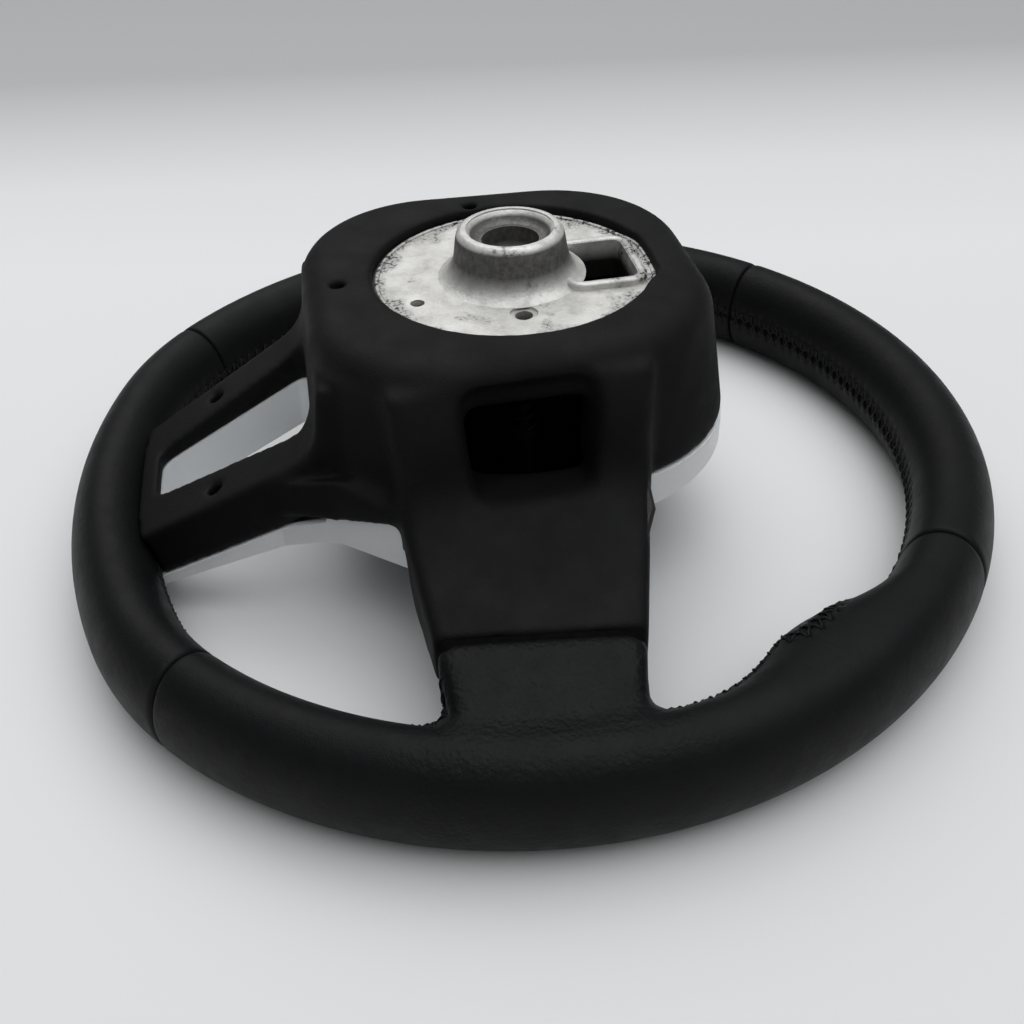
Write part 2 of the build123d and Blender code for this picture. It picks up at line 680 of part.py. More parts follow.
def hub_moulding(cast):
    """The grained black moulding: drum, both side spokes and the split lower spoke."""
    left = side_spoke()
    solid = drum() + left + mirrored(left) + yoke()
    solid -= post(0, 0, CAVITY_RADIUS, 0, FLANGE_BOTTOM)
    solid -= spoke_port()
    solid -= mirrored(spoke_port())
    solid -= pack_pocket()
    solid -= mirrored(pack_pocket())
    solid -= window_rebate()
    solid -= prism(plate_outline(), FLANGE_BOTTOM)
    pocket_top = FLANGE_TOP + PIN_HEAD_THICKNESS + HORN_TRAVEL + 2 * RUN_GAP
    for x, y in pin_places():
        solid -= post(x, y, PIN_HEAD_RADIUS + PIN_CLEARANCE, FLANGE_BOTTOM, pocket_top)
    for x, y in ((0, RELEASE_FOOT_Y), (RELEASE_SIDE_X, PIN_SIDE_Y)):
        solid -= post(x, y, RELEASE_HOLE_RADIUS, FLANGE_TOP, DRUM_TOP + PAST)
    for sign in (-1, 1):
        solid -= post(sign * TRIM_SCREW_X, TRIM_SCREW_Y, TRIM_SCREW_HOLE, screw_seat(), DRUM_TOP)
        solid -= post(sign * TRIM_SCREW_X, TRIM_SCREW_Y, TRIM_BOSS_RADIUS + TRIM_GAP, 0, screw_seat())
    return solid - cast


# Front trim

def trim_plan(inset=0.0):
    """Plan of the trim: the hub's outline, the split spoke and the webs between it and the side spokes."""
    reach = TRIM_WEB_REACH - inset
    web_start = -DRUM_FOOT_REACH - TRIM_WEB_RISE + inset
    arm_half = on_line((-DRUM_FOOT_REACH, YOKE_ROOT_HALF), (YOKE_END_Y, YOKE_END_HALF), web_start)
    points = [(arm_half - inset, web_start)]
    for lean in (TRIM_WEB_LOW, TRIM_WEB_HIGH):
        points.append((reach * math.cos(math.radians(lean)), -reach * math.sin(math.radians(lean))))
    web = make_face(Polyline(*points, (0, 0), close=True))
    foot = YOKE_END_Y - TRIM_FOOT_REACH + inset
    plan = drum_outline(0, inset) + yoke_plan(-CAVITY_RADIUS, foot, inset)
    return plan + web + mirrored(web)


def trim_front(y):
    """Height of the trim's front face at one place along the wheel's upright axis."""
    if y > -DRUM_FOOT_REACH:
        return on_line((DRUM_HEAD_REACH, TRIM_HEAD_FRONT), (-DRUM_FOOT_REACH, TRIM_FOOT_FRONT), y)
    return on_line((-DRUM_FOOT_REACH, TRIM_FOOT_FRONT), (YOKE_END_Y, TRIM_YOKE_FRONT), y)


def trim_layer(raise_front, lower_back):
    """Side view of the trim between its front face and the moulding's lower edge."""
    end = YOKE_END_Y - 2 * TRIM_FOOT_REACH
    head = DRUM_HEAD_REACH + PAST
    front_start = (-DRUM_FOOT_REACH, YOKE_ROOT_TOP - YOKE_ROOT_DEPTH)
    front_end = (YOKE_END_Y, YOKE_END_TOP - YOKE_END_DEPTH)
    places = [head, -DRUM_FOOT_REACH, end]
    front = [(y, trim_front(y) + raise_front) for y in places]
    back = [
        (end, on_line(front_start, front_end, end) - lower_back),
        (-DRUM_FOOT_REACH, front_start[1] - lower_back),
        (-DRUM_FOOT_REACH + TRIM_BACK_RUN, DRUM_BOTTOM - lower_back),
        (head, DRUM_BOTTOM - lower_back),
    ]
    return across_x(front + back)


def front_trim(moulding, cast):
    """The satin silver bezel: hub ring, webs and the frame of the split spoke's window."""
    solid = trim_layer(0, TRIM_GAP) & prism(trim_plan())
    solid -= trim_layer(TRIM_WALL, -PAST) & prism(trim_plan(TRIM_WALL))
    start = (-DRUM_FOOT_REACH, TRIM_WINDOW_ROOT_TOP)
    finish = (YOKE_END_Y, TRIM_WINDOW_END_TOP)
    ends = (-DRUM_FOOT_REACH + TRIM_WALL, YOKE_END_Y - TRIM_WALL)
    top = [(y, on_line(start, finish, y)) for y in ends]
    front = [(y, trim_front(y)) for y in (ends[1], -DRUM_FOOT_REACH, ends[0])]
    solid += across_x(top + front) & prism(yoke_window(TRIM_WALL))
    solid -= prism(yoke_window())
    solid -= prism(drum_outline(0, TRIM_FLANGE))
    for sign in (-1, 1):
        x = sign * TRIM_SCREW_X
        low = trim_front(TRIM_SCREW_Y) + TRIM_WALL / 2
        solid += post(x, TRIM_SCREW_Y, TRIM_BOSS_RADIUS, low, screw_seat())
        solid -= post(x, TRIM_SCREW_Y, TRIM_SCREW_SHANK, low + TRIM_WALL, DRUM_TOP)
    solid -= foot_tube(-YOKE_GAP)
    return solid - moulding - cast


def trim_screws():
    """The two screws that hold the trim, reached through the holes in the arms."""
    low = trim_front(TRIM_SCREW_Y) + 2 * TRIM_WALL
    screws = []
    for sign in (-1, 1):
        x = sign * TRIM_SCREW_X
        screw = post(x, TRIM_SCREW_Y, TRIM_SCREW_HEAD, screw_seat(), screw_seat() + TRIM_SCREW_HEAD_HEIGHT)
        screw += post(x, TRIM_SCREW_Y, TRIM_SCREW_SHANK, low, screw_seat())
        screws.append(screw)
    return Compound(children=screws)


# Horn pad

def cover_outline(inset=0.0):
    """Plan of the horn pad, set in from the trim's opening."""
    return drum_outline(0, TRIM_FLANGE + COVER_GAP + inset)


def domed(outline, front, back, radius):
    """A plan outline carried up from a front face with a rounded edge."""
    solid = prism(outline, front, back)
    return fillet(solid.faces().sort_by(Axis.Z)[0].edges(), radius)


def horn_cover():
    """The soft black cover that the driver presses."""
    outside = domed(cover_outline(), COVER_FRONT, COVER_BACK, COVER_FRONT_FILLET)
    inside = domed(cover_outline(COVER_WALL), COVER_FRONT + COVER_WALL, COVER_BACK + PAST,
                   COVER_FRONT_FILLET - COVER_WALL)
    return outside - inside


def airbag_can():
    """The pressed can behind the cover, with the flange that closes the cover's back."""
    flange_front = CAN_FLANGE_BACK - CAN_FLANGE_THICKNESS
    solid = prism(cover_outline(COVER_WALL + SEAT_GAP), flange_front, CAN_FLANGE_BACK)
    cup = domed(Circle(CAN_RADIUS), -CAN_TOP, -flange_front, CAN_WALL * 2)
    hollow = domed(Circle(CAN_RADIUS - CAN_WALL), CAN_WALL - CAN_TOP, PAST - flange_front, CAN_WALL)
    return solid + mirror(cup, Plane.XY) - mirror(hollow, Plane.XY)


def airbag_cushion():
    """The folded cushion, one soft pack between the cover and the can."""
    inset = COVER_FRONT_FILLET
    front = COVER_FRONT + COVER_WALL + CUSHION_GAP
    back = CAN_FLANGE_BACK - CAN_FLANGE_THICKNESS
    return domed(cover_outline(inset), front, back, COVER_FRONT_FILLET / 2)


def inflator():
    """The gas generator: a sealed steel puck with a fixing flange."""
    top = CAN_TOP - CAN_WALL
    puck = post(0, 0, INFLATOR_RADIUS, top - INFLATOR_HEIGHT, top)
    puck = fillet(puck.faces().sort_by(Axis.Z)[0].edges(), CAN_WALL * 2)
    ring = post(0, 0, INFLATOR_RADIUS + INFLATOR_FLANGE, top - CAN_WALL, top)
    return puck + ring


def guide_pins():
    """The three headed pins that carry the horn pad in the armature's flange."""
    head = FLANGE_TOP + RUN_GAP
    pins = []
    for x, y in pin_places():
        pin = post(x, y, PIN_RADIUS, CAN_FLANGE_BACK, head)
        pin += post(x, y, PIN_HEAD_RADIUS, head, head + PIN_HEAD_THICKNESS)
        pin += post(x, y, COLLAR_RADIUS, COLLAR_TOP - COLLAR_THICKNESS, COLLAR_TOP)
        pins.append(pin)
    return Compound(children=pins)


def horn_springs():
    """The three coil springs between the pins' collars and the armature's flange."""
    low = COLLAR_TOP + SPRING_WIRE
    height = FLANGE_BOTTOM - SPRING_WIRE - low
    springs = []
    for x, y in pin_places():
        line = Helix(height / SPRING_TURNS, height, SPRING_RADIUS)
        wire = sweep(Plane(origin=line @ 0, z_dir=line % 0) * Circle(SPRING_WIRE), line, is_frenet=True)
        springs.append(Pos(x, y, low) * wire)
    return Compound(children=springs)


# Switch packs

def pack_plan(inset):
    """Plan of the left switch pack."""
    size = (PACK_WIDTH - 2 * inset, PACK_LENGTH - 2 * inset)
    return Pos(PACK_CENTRE_X, PACK_CENTRE_Y) * RectangleRounded(*size, PACK_CORNER - inset)


def button_places():
    """Names and places of the four buttons of the left pack."""
    places = {}
    for row, way_y in (("upper", 1), ("lower", -1)):
        for column, way_x in (("inner", -1), ("outer", 1)):
            x = PACK_CENTRE_X + way_x * BUTTON_SPACING_X / 2
            y = PACK_CENTRE_Y + way_y * BUTTON_SPACING_Y
            places[row + "_" + column] = (x, y)
    return places


def roller_height():
    """Height of the thumb roller's axle."""
    return PACK_FRONT - ROLLER_PROUD + ROLLER_RADIUS


def along_x(radius, length):
    """A cylinder along X at the thumb roller's place."""
    return Pos(PACK_CENTRE_X, PACK_CENTRE_Y, roller_height()) * Rot(0, 90, 0) * Cylinder(radius, length)


def switch_pack():
    """The left switch pack's gloss housing, with its button holes, roller slot and axle brackets."""
    face_back = PACK_FRONT + PACK_WALL
    back = PACK_FRONT + PACK_DEPTH
    solid = prism(pack_plan(TRIM_GAP), PACK_FRONT, back)
    solid -= prism(pack_plan(TRIM_GAP + PACK_WALL), face_back, back + PAST)
    hole_size = (BUTTON_WIDTH + 2 * RUN_GAP, BUTTON_LENGTH + 2 * RUN_GAP)
    hole = RectangleRounded(*hole_size, BUTTON_CORNER + RUN_GAP)
    for x, y in button_places().values():
        solid -= prism(Pos(x, y) * hole, 0, face_back + PAST)
    thickness = AXLE_LENGTH / 2 - ROLLER_WIDTH / 2 - RUN_GAP
    height = roller_height() + 2 * AXLE_RADIUS - PACK_FRONT
    bracket = Box(thickness, 6 * AXLE_RADIUS, height)
    for side in (-1, 1):
        x = PACK_CENTRE_X + side * (ROLLER_WIDTH / 2 + RUN_GAP + thickness / 2)
        solid += Pos(x, PACK_CENTRE_Y, PACK_FRONT + height / 2) * bracket
    solid -= along_x(AXLE_RADIUS + RUN_GAP / 2, AXLE_LENGTH + 2 * RUN_GAP)
    return solid - along_x(ROLLER_RADIUS + RUN_GAP, ROLLER_WIDTH + 2 * RUN_GAP)


def switch_board():
    """The left pack's circuit board, seated in the housing's open back."""
    back = PACK_FRONT + PACK_DEPTH
    return prism(pack_plan(TRIM_GAP + PACK_WALL + SEAT_GAP), back - BOARD_THICKNESS, back)


def button(x, y):
    """A push button with a rounded face and the ledge that keeps it in the housing."""
    front = PACK_FRONT - BUTTON_PROUD
    back = front + BUTTON_HEIGHT
    cap = prism(Pos(x, y) * RectangleRounded(BUTTON_WIDTH, BUTTON_LENGTH, BUTTON_CORNER), front, back)
    cap = fillet(cap.faces().sort_by(Axis.Z)[0].edges(), BUTTON_PROUD / 2)
    size = (BUTTON_WIDTH + 2 * BUTTON_LEDGE, BUTTON_LENGTH + 2 * BUTTON_LEDGE)
    ledge_front = PACK_FRONT + PACK_WALL + SEAT_GAP
    return cap + prism(Pos(x, y) * RectangleRounded(*size, BUTTON_CORNER), ledge_front, back)


def thumb_roller():
    """The ribbed thumb roller with its axle."""
    points = []
    for step in range(2 * ROLLER_RIBS):
        radius = ROLLER_RADIUS - (ROLLER_RIB_DEPTH if step % 2 else 0)
        turn = math.pi * step / ROLLER_RIBS
        points.append((radius * math.cos(turn), radius * math.sin(turn)))
    drum_face = make_face(Polyline(*points, close=True))
    wheel = Rot(0, 90, 0) * extrude(drum_face, ROLLER_WIDTH / 2, both=True)
    return Pos(PACK_CENTRE_X, PACK_CENTRE_Y, roller_height()) * wheel + along_x(AXLE_RADIUS, AXLE_LENGTH)


def left_pack():
    """Every piece of the left switch pack by name."""
    pieces = {"switch_pack": switch_pack(), "switch_board": switch_board(), "thumb_roller": thumb_roller()}
    for name, (x, y) in button_places().items():
        pieces["button_" + name] = button(x, y)
    return pieces


def main():
    cast = armature()
    moulding = hub_moulding(cast)
    side = leather_side()
    nodes = {
        "armature": cast,
        "hub_moulding": moulding,
        "rim_padding": rim_padding(cast),
        "leather_top": leather_top(),
        "leather_foot": leather_foot(cast),
        "leather_left": side,
        "leather_right": mirrored(side),
        "front_trim": front_trim(moulding, cast),
        "trim_screws": trim_screws(),
        "horn_cover": horn_cover(),
        "airbag_can": airbag_can(),
        "airbag_cushion": airbag_cushion(),
        "inflator": inflator(),
        "guide_pins": guide_pins(),
        "horn_springs": horn_springs(),
    }
    for name, piece in left_pack().items():
        nodes[name + "_left"] = piece
        nodes[name + "_right"] = mirrored(piece)
    os.makedirs("parts", exist_ok=True)
    for name, piece in nodes.items():
        export_step(Pos(0, 0, -SHAFT_MOUTH) * piece, "parts/" + name + ".step")


if __name__ == "__main__":
    main()
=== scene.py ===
"""Looks of a leather-covered car steering wheel that lies face down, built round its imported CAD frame.

Lengths below are in millimetres, with heights measured from the rim's face plane as in the part's source.
to_frame() turns them into the frame's metres.
"""

import math

import bmesh
import bpy
import numpy as np
from mathutils import Matrix, Vector


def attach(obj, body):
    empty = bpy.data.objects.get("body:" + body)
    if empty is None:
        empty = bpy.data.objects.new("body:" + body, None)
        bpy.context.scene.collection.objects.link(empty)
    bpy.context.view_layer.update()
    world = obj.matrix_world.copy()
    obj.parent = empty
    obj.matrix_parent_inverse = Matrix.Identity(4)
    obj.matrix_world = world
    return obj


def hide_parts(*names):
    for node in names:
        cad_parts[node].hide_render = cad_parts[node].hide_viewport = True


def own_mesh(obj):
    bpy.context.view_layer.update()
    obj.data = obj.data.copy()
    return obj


MM = 0.001
FACE_Z = -120.5
TINY = 1e-9
SHARP_ANGLE = 32.0

# Grip, as in the CAD solids
RIM_CENTRE = 169.8
GRIP_HALF_WIDTH = 15.2
GRIP_HALF_HEIGHT = 21.0
GRIP_CENTRE_Z = 21.0
TOP_SEAM = 38.0
FOOT_SEAM = 39.5
FOOT_FLAT = 7.0
FOOT_CORNER_RADIUS = 115.0
THUMB_REST_ANGLE = 29.0
THUMB_REST_SPREAD = 18.0
THUMB_REST_DEPTH = 13.0
SEAM_GAP = 0.6

# Leather tongue on the left spoke: its straight sides as (x, y) or (x, z) points, and its edges' roundness
TONGUE_END = ((126.2, -50.6), (133.2, 17.0))
TONGUE_LOWER = ((60.0, -56.0), (134.0, -50.0))
TONGUE_UPPER = ((60.0, 38.0), (134.0, 17.0))
TONGUE_BACK = ((80.0, 65.0), (134.0, 48.0))
TONGUE_FRONT = ((135.0, 30.0), (161.8, 10.5))
TONGUE_FLANK_ROUND = 2.0
TONGUE_END_ROUND = 7.0
TONGUE_FACE_ROUND = 2.0
TONGUE_EDGE_ROUND = 6.0

# How widely the tongue flows into the grip, widest at one height
FLOW_WIDTH = 4.0
FLOW_WIDTH_ADDED = 11.0
FLOW_HEIGHT = 27.0
FLOW_SPREAD = 12.0

# Rings of the left panel: (place on the rim, way it faces) in degrees, and how the points are found
HEADINGS = ((-52, -52), (-45, -45), (-19, 24), (-5, -6), (9, -36), (37, 37), (45, 45), (53, 53))
RAY_REACH = 80.0
RAY_HALVINGS = 26
SECTION_SAMPLES = 4001

# How the leather lies and where it is laced; angles along the rim are in degrees
STATION_STEP = 0.8
LACE_SPAN = 10.0
LACE_RISE_SPAN = 26.0
LACE_STEP = 0.6
PLAIN_STEP = 1.4
EDGE_STEP = 0.5
ROLL_WIDTH = 2.2
ROLL_DEPTH = 1.1
LACE_REST_ANGLE = 27.0
LACE_REST_SPREAD = 12.0
LACE_REST_RISE = 32.0
LACE_SPOKE_FROM = (-24.0, -17.0)
LACE_SPOKE_TO = (15.0, 8.0)
LACE_SPOKE_RISE = 24.0
UNLACED_FROM = (-15.0, -12.5)
UNLACED_TO = (4.0, 1.5)

# How far past the tongue its pull on the leather starts to fade, and over what distance
PULL_START = 2.0
PULL_SPREAD = 16.0

# Cross stitches, and the relief that they pull into the leather
STITCH_PITCH = 5.2
STITCH_REACH = 4.0
STITCH_POINTS = 9
STITCH_SINK = 0.5
STITCH_RISE = 0.95
STITCH_CROSSING = 0.3
STITCH_FULLNESS = 0.6
STITCH_LEAST = 0.6
THREAD_RADIUS = 0.42
THREAD_SIDES = 6
GROOVE_DEPTH = 0.75
GROOVE_WIDTH = 0.9
DENT_DEPTH = 0.65
DENT_LENGTH = 0.75
DENT_WIDTH = 0.9
CREASE_DEPTH = 0.3
CREASE_LENGTH = 0.8
CREASE_START = 0.5
CREASE_WIDTH = 1.8
CREASE_INSIDE = 1.0
PILLOW_HEIGHT = 0.4
PILLOW_SHIFT = 0.6
PILLOW_WIDTH = 2.0

# Hub moulding: how its skin is made
MOULDING_VOXEL = 1.1
MOULDING_KEPT = 0.45
RELAX_ROUNDS = 70
EDGE_SOFTNESS = 0.08
BUTTRESS_SOFTNESS = 0.7
BUTTRESS_MIDDLE = (82.0, 84.0)
BUTTRESS_SPREAD = (14.0, 20.0)
PORT_FLARE = 4.0
PORT_FLARE_SPREAD = (16.0, 7.0)
PORT_FLARE_FROM = (66.0, 98.0)
PORT_FLARE_TO = (112.0, 100.0)

# Hub moulding: blocks that close its left half, as sides in (x, z) and a plan in (x, y)
BLOCK_OVERLAP = 1.0
BUTTRESS_SIDE = ((58.0, 105.0), (72.0, 105.0), (79.5, 88.0), (81.0, 66.0), (58.0, 66.0))
PORT_EDGES = (-28.0, 12.0)
PORT_LIP_SIDE = ((64.5, 93.0), (67.5, 93.0), (67.5, 105.0), (64.5, 105.0))
SILL_CENTRE = (107.5, 87.8)
SILL_RADIUS = 30.0
SILL_TURN = (226.0, 252.0)
SILL_POINTS = 8
SILL_WIDTH = 6.0
SILL_FOOT = 54.0
SHELF_PLAN = ((45.5, -99.0), (59.4, -75.9), (80.5, -54.0), (62.0, -44.0), (38.0, -78.0))
SHELF_TOPS = (60.0, 67.0, 63.0, 67.0, 70.0)
SHELF_FEET = (46.0, 49.0, 58.0, 58.0, 46.0)

# Pockets in the hub moulding for the heads of the horn pad's pins
PIN_PLACES = ((0.0, -59.0), (-57.0, -7.0), (57.0, -7.0))
PIN_POCKET_RADIUS = 5.8
PIN_POCKET_FOOT = 94.0
PIN_POCKET_ROOF = 2.0
PIN_POCKET_TOP = 107.3
PIN_AXIS_LEAST = 0.01

# Hub plate; the boss's profile is its foot's fairing, its taper and its rounded lip, as (radius, z)
BOSS_PROFILE = (
    (27.4, 106.9), (25.8, 107.6), (24.0, 109.0), (22.5, 111.0), (21.3, 113.6), (20.7, 116.5),
    (20.3, 119.5), (19.9, 121.9), (19.5, 123.3), (18.7, 124.4), (17.6, 124.95), (16.4, 124.8),
    (15.3, 124.1), (14.5, 122.9), (13.7, 121.6), (12.6, 120.9), (11.6, 120.6),
)
BOSS_SIDES = 96
PLATE_TOP = 107.0
PLATE_RADIUS = 51.3
PLATE_LOBE_ROUND = 6.0
WINDOW_CENTRE = (2.3, 32.0)
WINDOW_HALF = (15.5, 12.0)
WINDOW_CORNER = 4.0
WINDOW_BORDER = 7.0
WINDOW_BORDER_HEIGHT = 2.0
LIP_RADIUS = WINDOW_BORDER / 4
LIP_FLATNESS = 0.6
LIP_SINK = 0.3
LIP_POINTS = 140
BEAD_MIDDLE = (0.0, 8.0)
BEAD_INSET = 1.6
BEAD_RADIUS = 0.9
BEAD_FLATNESS = 0.8
BEAD_POINTS = 220
TUBE_SIDES = 10
OUTLINE_REACH = 90.0
OUTLINE_HALVINGS = 30

# Casting's finish and painted shade: the radii, heights and y between which each comes in
PLATE_STAINED = (43.0, 49.0)
# Painted shade on the casting from the plate's rim outward: the radii and y where it comes in
PLATE_GAP = (50.4, 50.7)
PLATE_GAP_END = (18.0, 14.0)
# Painted shade over the boss's brush scratches: heights where its side turns dark, below its lip
BOSS_BRUSHED_SHADE_FROM = (109.0, 115.0)
BOSS_BRUSHED_SHADE_TO = (123.6, 122.6)
# Painted shade on the casting below the plate's top: the heights where it comes in
SHADE_BELOW_PLATE = (106.0, 101.0)

# Floor: its half size, and its tones over a range from the wheel's near side to far behind it, where they
# darken as painted shade
FLOOR_HALF = 4000.0
FLOOR_RANGE = (-400.0, 1000.0)
FLOOR_SHADE_TONES = ((0.0, 0.71), (0.45, 0.72), (0.54, 0.67), (0.70, 0.40), (1.0, 0.34))

# Light, in metres and watts: one lamp, the way to the brightest part of the surroundings, and their fall-off
KEY_PLACE = (-2.0, -0.3, 2.1)
KEY_TARGET = (0.0, 0.0, -0.08)
KEY_SIZE = 2.6
KEY_POWER = 24.0
SKY_COLOUR = (0.97, 0.985, 1.0, 1.0)
SKY_BRIGHT_WAY = (0.05, 0.2, 0.978)
SKY_RANGE = (0.62, 0.98, 0.17, 2.25)

# Camera fitted to the photograph; its heading is in degrees, its other turns in radians
CAMERA_EYE = (395.97, -65.55, 309.62)
CAMERA_HEADING = 9.4
CAMERA_YAW = -0.0100616
CAMERA_PITCH = 0.6650701
CAMERA_ROLL = -0.0474165
CAMERA_LENS = 42.042
CAMERA_SENSOR = 36.0
CAMERA_NEAR = 0.01


def to_frame(points):
    """Points in millimetres above the rim's face plane, in the frame's metres."""
    return (np.asarray(points, float) + (0, 0, FACE_Z)) * MM


# Small numeric helpers

def smooth_min(a, b, width):
    """The lower of two values, rounded over where they meet."""
    share = np.maximum(width - np.abs(a - b), 0) / width
    return np.minimum(a, b) - share * share * width / 4


def smooth_max(a, b, width):
    """The higher of two values, rounded over where they meet."""
    return -smooth_min(-a, -b, width)


def smooth_step(low, high, value):
    """0 below low, 1 above high and a smooth rise between."""
    share = np.clip((value - low) / (high - low), 0, 1)
    return share * share * (3 - 2 * share)


def bell(value, width):
    """1 at 0, falling off smoothly over about the given width."""
    return np.exp(-(value / width) ** 2)


def smooth_through(knots, value):
    """A smooth curve through (place, height) knots."""
    xs, ys = np.array(knots, float).T
    slopes = np.gradient(ys, xs)
    cell = np.clip(np.searchsorted(xs, value) - 1, 0, len(xs) - 2)
    span = xs[cell + 1] - xs[cell]
    t = np.clip((value - xs[cell]) / span, 0, 1)
    start = ys[cell] * (1 + 2 * t) * (1 - t) ** 2 + slopes[cell] * span * t * (1 - t) ** 2
    finish = ys[cell + 1] * t * t * (3 - 2 * t) + slopes[cell + 1] * span * t * t * (t - 1)
    return start + finish


def beside(line, across, along):
    """Signed distance of points from a straight line given by two points, above it being positive."""
    (x0, y0), (x1, y1) = line
    length = math.hypot(x1 - x0, y1 - y0)
    return ((along - y0) * (x1 - x0) - (across - x0) * (y1 - y0)) / length


def on_line(line):
    """The place in y on a line in plan, as a function of x."""
    (x0, y0), (x1, y1) = line
    return lambda x: y0 + (y1 - y0) * (x - x0) / (x1 - x0)


def last_inside(inside, shape, reach, halvings):
    """How far each ray goes before it leaves a form; inside() says which distances still lie in it."""
    low = np.zeros(shape)
    high = np.full(shape, reach)
    for _ in range(halvings):
        middle = (low + high) / 2
        within = inside(middle)
        low = np.where(within, middle, low)
        high = np.where(within, high, middle)
    return low


# Meshes

def link(name, mesh):
    """A new object in the scene."""
    piece = bpy.data.objects.new(name, mesh)
    bpy.context.scene.collection.objects.link(piece)
    return piece


def smooth_shaded(mesh):
    """The same mesh, with all its faces shaded smooth."""
    mesh.polygons.foreach_set("use_smooth", np.ones(len(mesh.polygons), bool))
    return mesh


def mesh_of(name, vertices, faces):
    """A new smooth mesh from points in metres."""
    mesh = bpy.data.meshes.new(name)
    mesh.from_pydata(np.asarray(vertices).tolist(), [], faces)
    mesh.validate()
    return smooth_shaded(mesh)


def grid_faces(rows, columns, first=0, caps=True):
    """Quads of a tube with that many rings and points round each ring, its two ends closed."""
    faces = []
    for row in range(rows - 1):
        here = first + row * columns
        for column in range(columns):
            after = (column + 1) % columns
            faces.append((here + column, here + columns + column, here + columns + after, here + after))
    if caps:
        last = first + (rows - 1) * columns
        faces.append(tuple(range(first, first + columns)))
        faces.append(tuple(range(last + columns - 1, last - 1, -1)))
    return faces


def tube_mesh(name, lines, radius, sides, closed=False, flatten=1.0):
    """Round tubes along lines of points, as one mesh; flatten squeezes them in height."""
    vertices, faces = [], []
    turn = np.linspace(0, 2 * math.pi, sides, endpoint=False)
    for line in lines:
        line = np.asarray(line, float)
        ahead = np.roll(line, -1, 0) - np.roll(line, 1, 0)
        if not closed:
            ahead[0] = line[1] - line[0]
            ahead[-1] = line[-1] - line[-2]
        ahead /= np.linalg.norm(ahead, axis=1)[:, None]
        side = np.cross(ahead, (0.0, 0.0, 1.0))
        side /= np.maximum(np.linalg.norm(side, axis=1), TINY)[:, None]
        lift = np.cross(side, ahead) * flatten
        ring = np.cos(turn)[None, :, None] * side[:, None] + np.sin(turn)[None, :, None] * lift[:, None]
        first = len(vertices)
        vertices.extend((line[:, None] + radius * ring).reshape(-1, 3))
        faces.extend(grid_faces(len(line), sides, first, caps=not closed))
        if closed:
            last = first + (len(line) - 1) * sides
            for column in range(sides):
                after = (column + 1) % sides
                faces.append((last + column, first + column, first + after, last + after))
    return mesh_of(name, to_frame(vertices), faces)


def apply_modifiers(piece):
    """Gives a piece the mesh that its modifiers make, and takes them off."""
    graph = bpy.context.evaluated_depsgraph_get()
    piece.data = bpy.data.meshes.new_from_object(piece.evaluated_get(graph))
    piece.modifiers.clear()


def points_of(mesh):
    """A mesh's points, in millimetres above the rim's face plane."""
    points = np.empty(3 * len(mesh.vertices))
    mesh.vertices.foreach_get("co", points)
    return points.reshape(-1, 3) / MM - (0, 0, FACE_Z)


def move_points(mesh, points):
    """Puts a mesh's points at new places, given in millimetres above the rim's face plane."""
    mesh.vertices.foreach_set("co", to_frame(points).ravel())
    mesh.update()


def relax(mesh, rounds, softness):
    """Evens a mesh out in rounds; softness() says how far each point goes to its neighbours' middle."""
    points = points_of(mesh)
    count = len(points)
    ends = np.empty(2 * len(mesh.edges), np.int32)
    mesh.edges.foreach_get("vertices", ends)
    here, there = ends.reshape(-1, 2).T
    near = np.bincount(ends, minlength=count)[:, None]
    share = softness(points)[:, None]

    def neighbours_sum(values):
        return np.bincount(here, values[there], count) + np.bincount(there, values[here], count)

    for _ in range(rounds):
        sums = [neighbours_sum(values) for values in points.T]
        points += share * (np.stack(sums, -1) / near - points)
    move_points(mesh, points)


# Hub moulding

def moulding_softness(points):
    """How soft the moulding's edges are: round on the buttresses, crisper elsewhere."""
    across = bell(np.abs(points[:, 0]) - BUTTRESS_MIDDLE[0], BUTTRESS_SPREAD[0])
    upward = bell(points[:, 2] - BUTTRESS_MIDDLE[1], BUTTRESS_SPREAD[1])
    return EDGE_SOFTNESS + BUTTRESS_SOFTNESS * across * upward


def flare_ports(mesh):
    """Leans the ports' side walls apart towards their tops."""
    points = points_of(mesh)
    x, y, z = points.T
    middle, half = np.mean(PORT_EDGES), np.ptp(PORT_EDGES) / 2
    across = bell(np.abs(x) - BUTTRESS_MIDDLE[0], PORT_FLARE_SPREAD[0])
    near_walls = bell(np.abs(y - middle) - half, PORT_FLARE_SPREAD[1]) * across
    outward = PORT_FLARE * np.sign(y - middle) * near_walls
    points[:, 1] += outward * smooth_step(*PORT_FLARE_FROM, z) * smooth_step(*PORT_FLARE_TO, z)
    move_points(mesh, points)


def clear_pockets(mesh):
    """Keeps the pockets open that the heads of the horn pad's pins rise into."""
    points = points_of(mesh)
    for place in PIN_PLACES:
        away = points[:, :2] - place
        distance = np.linalg.norm(away, axis=1)
        height = points[:, 2]
        inside = (distance < PIN_POCKET_RADIUS) & (height > PIN_POCKET_FOOT) & (height < PIN_POCKET_TOP)
        roof = inside & (height > PIN_POCKET_TOP - PIN_POCKET_ROOF)
        wall = inside & ~roof
        stretch = PIN_POCKET_RADIUS / np.maximum(distance[wall], PIN_AXIS_LEAST)
        points[roof, 2] = PIN_POCKET_TOP
        points[wall, :2] = place + away[wall] * stretch[:, None]
    move_points(mesh, points)


def sill_side():
    """The side of the block in a port's foot: an arc on top, a straight back and a straight foot."""
    sweep = np.radians(np.linspace(*SILL_TURN, SILL_POINTS))
    middle_x, middle_z = SILL_CENTRE
    arc = [(middle_x + SILL_RADIUS * math.cos(a), middle_z + SILL_RADIUS * math.sin(a)) for a in sweep]
    back = arc[0][0] - SILL_WIDTH
    return [(back, arc[0][1]), *arc, (arc[-1][0], SILL_FOOT), (back, SILL_FOOT)]


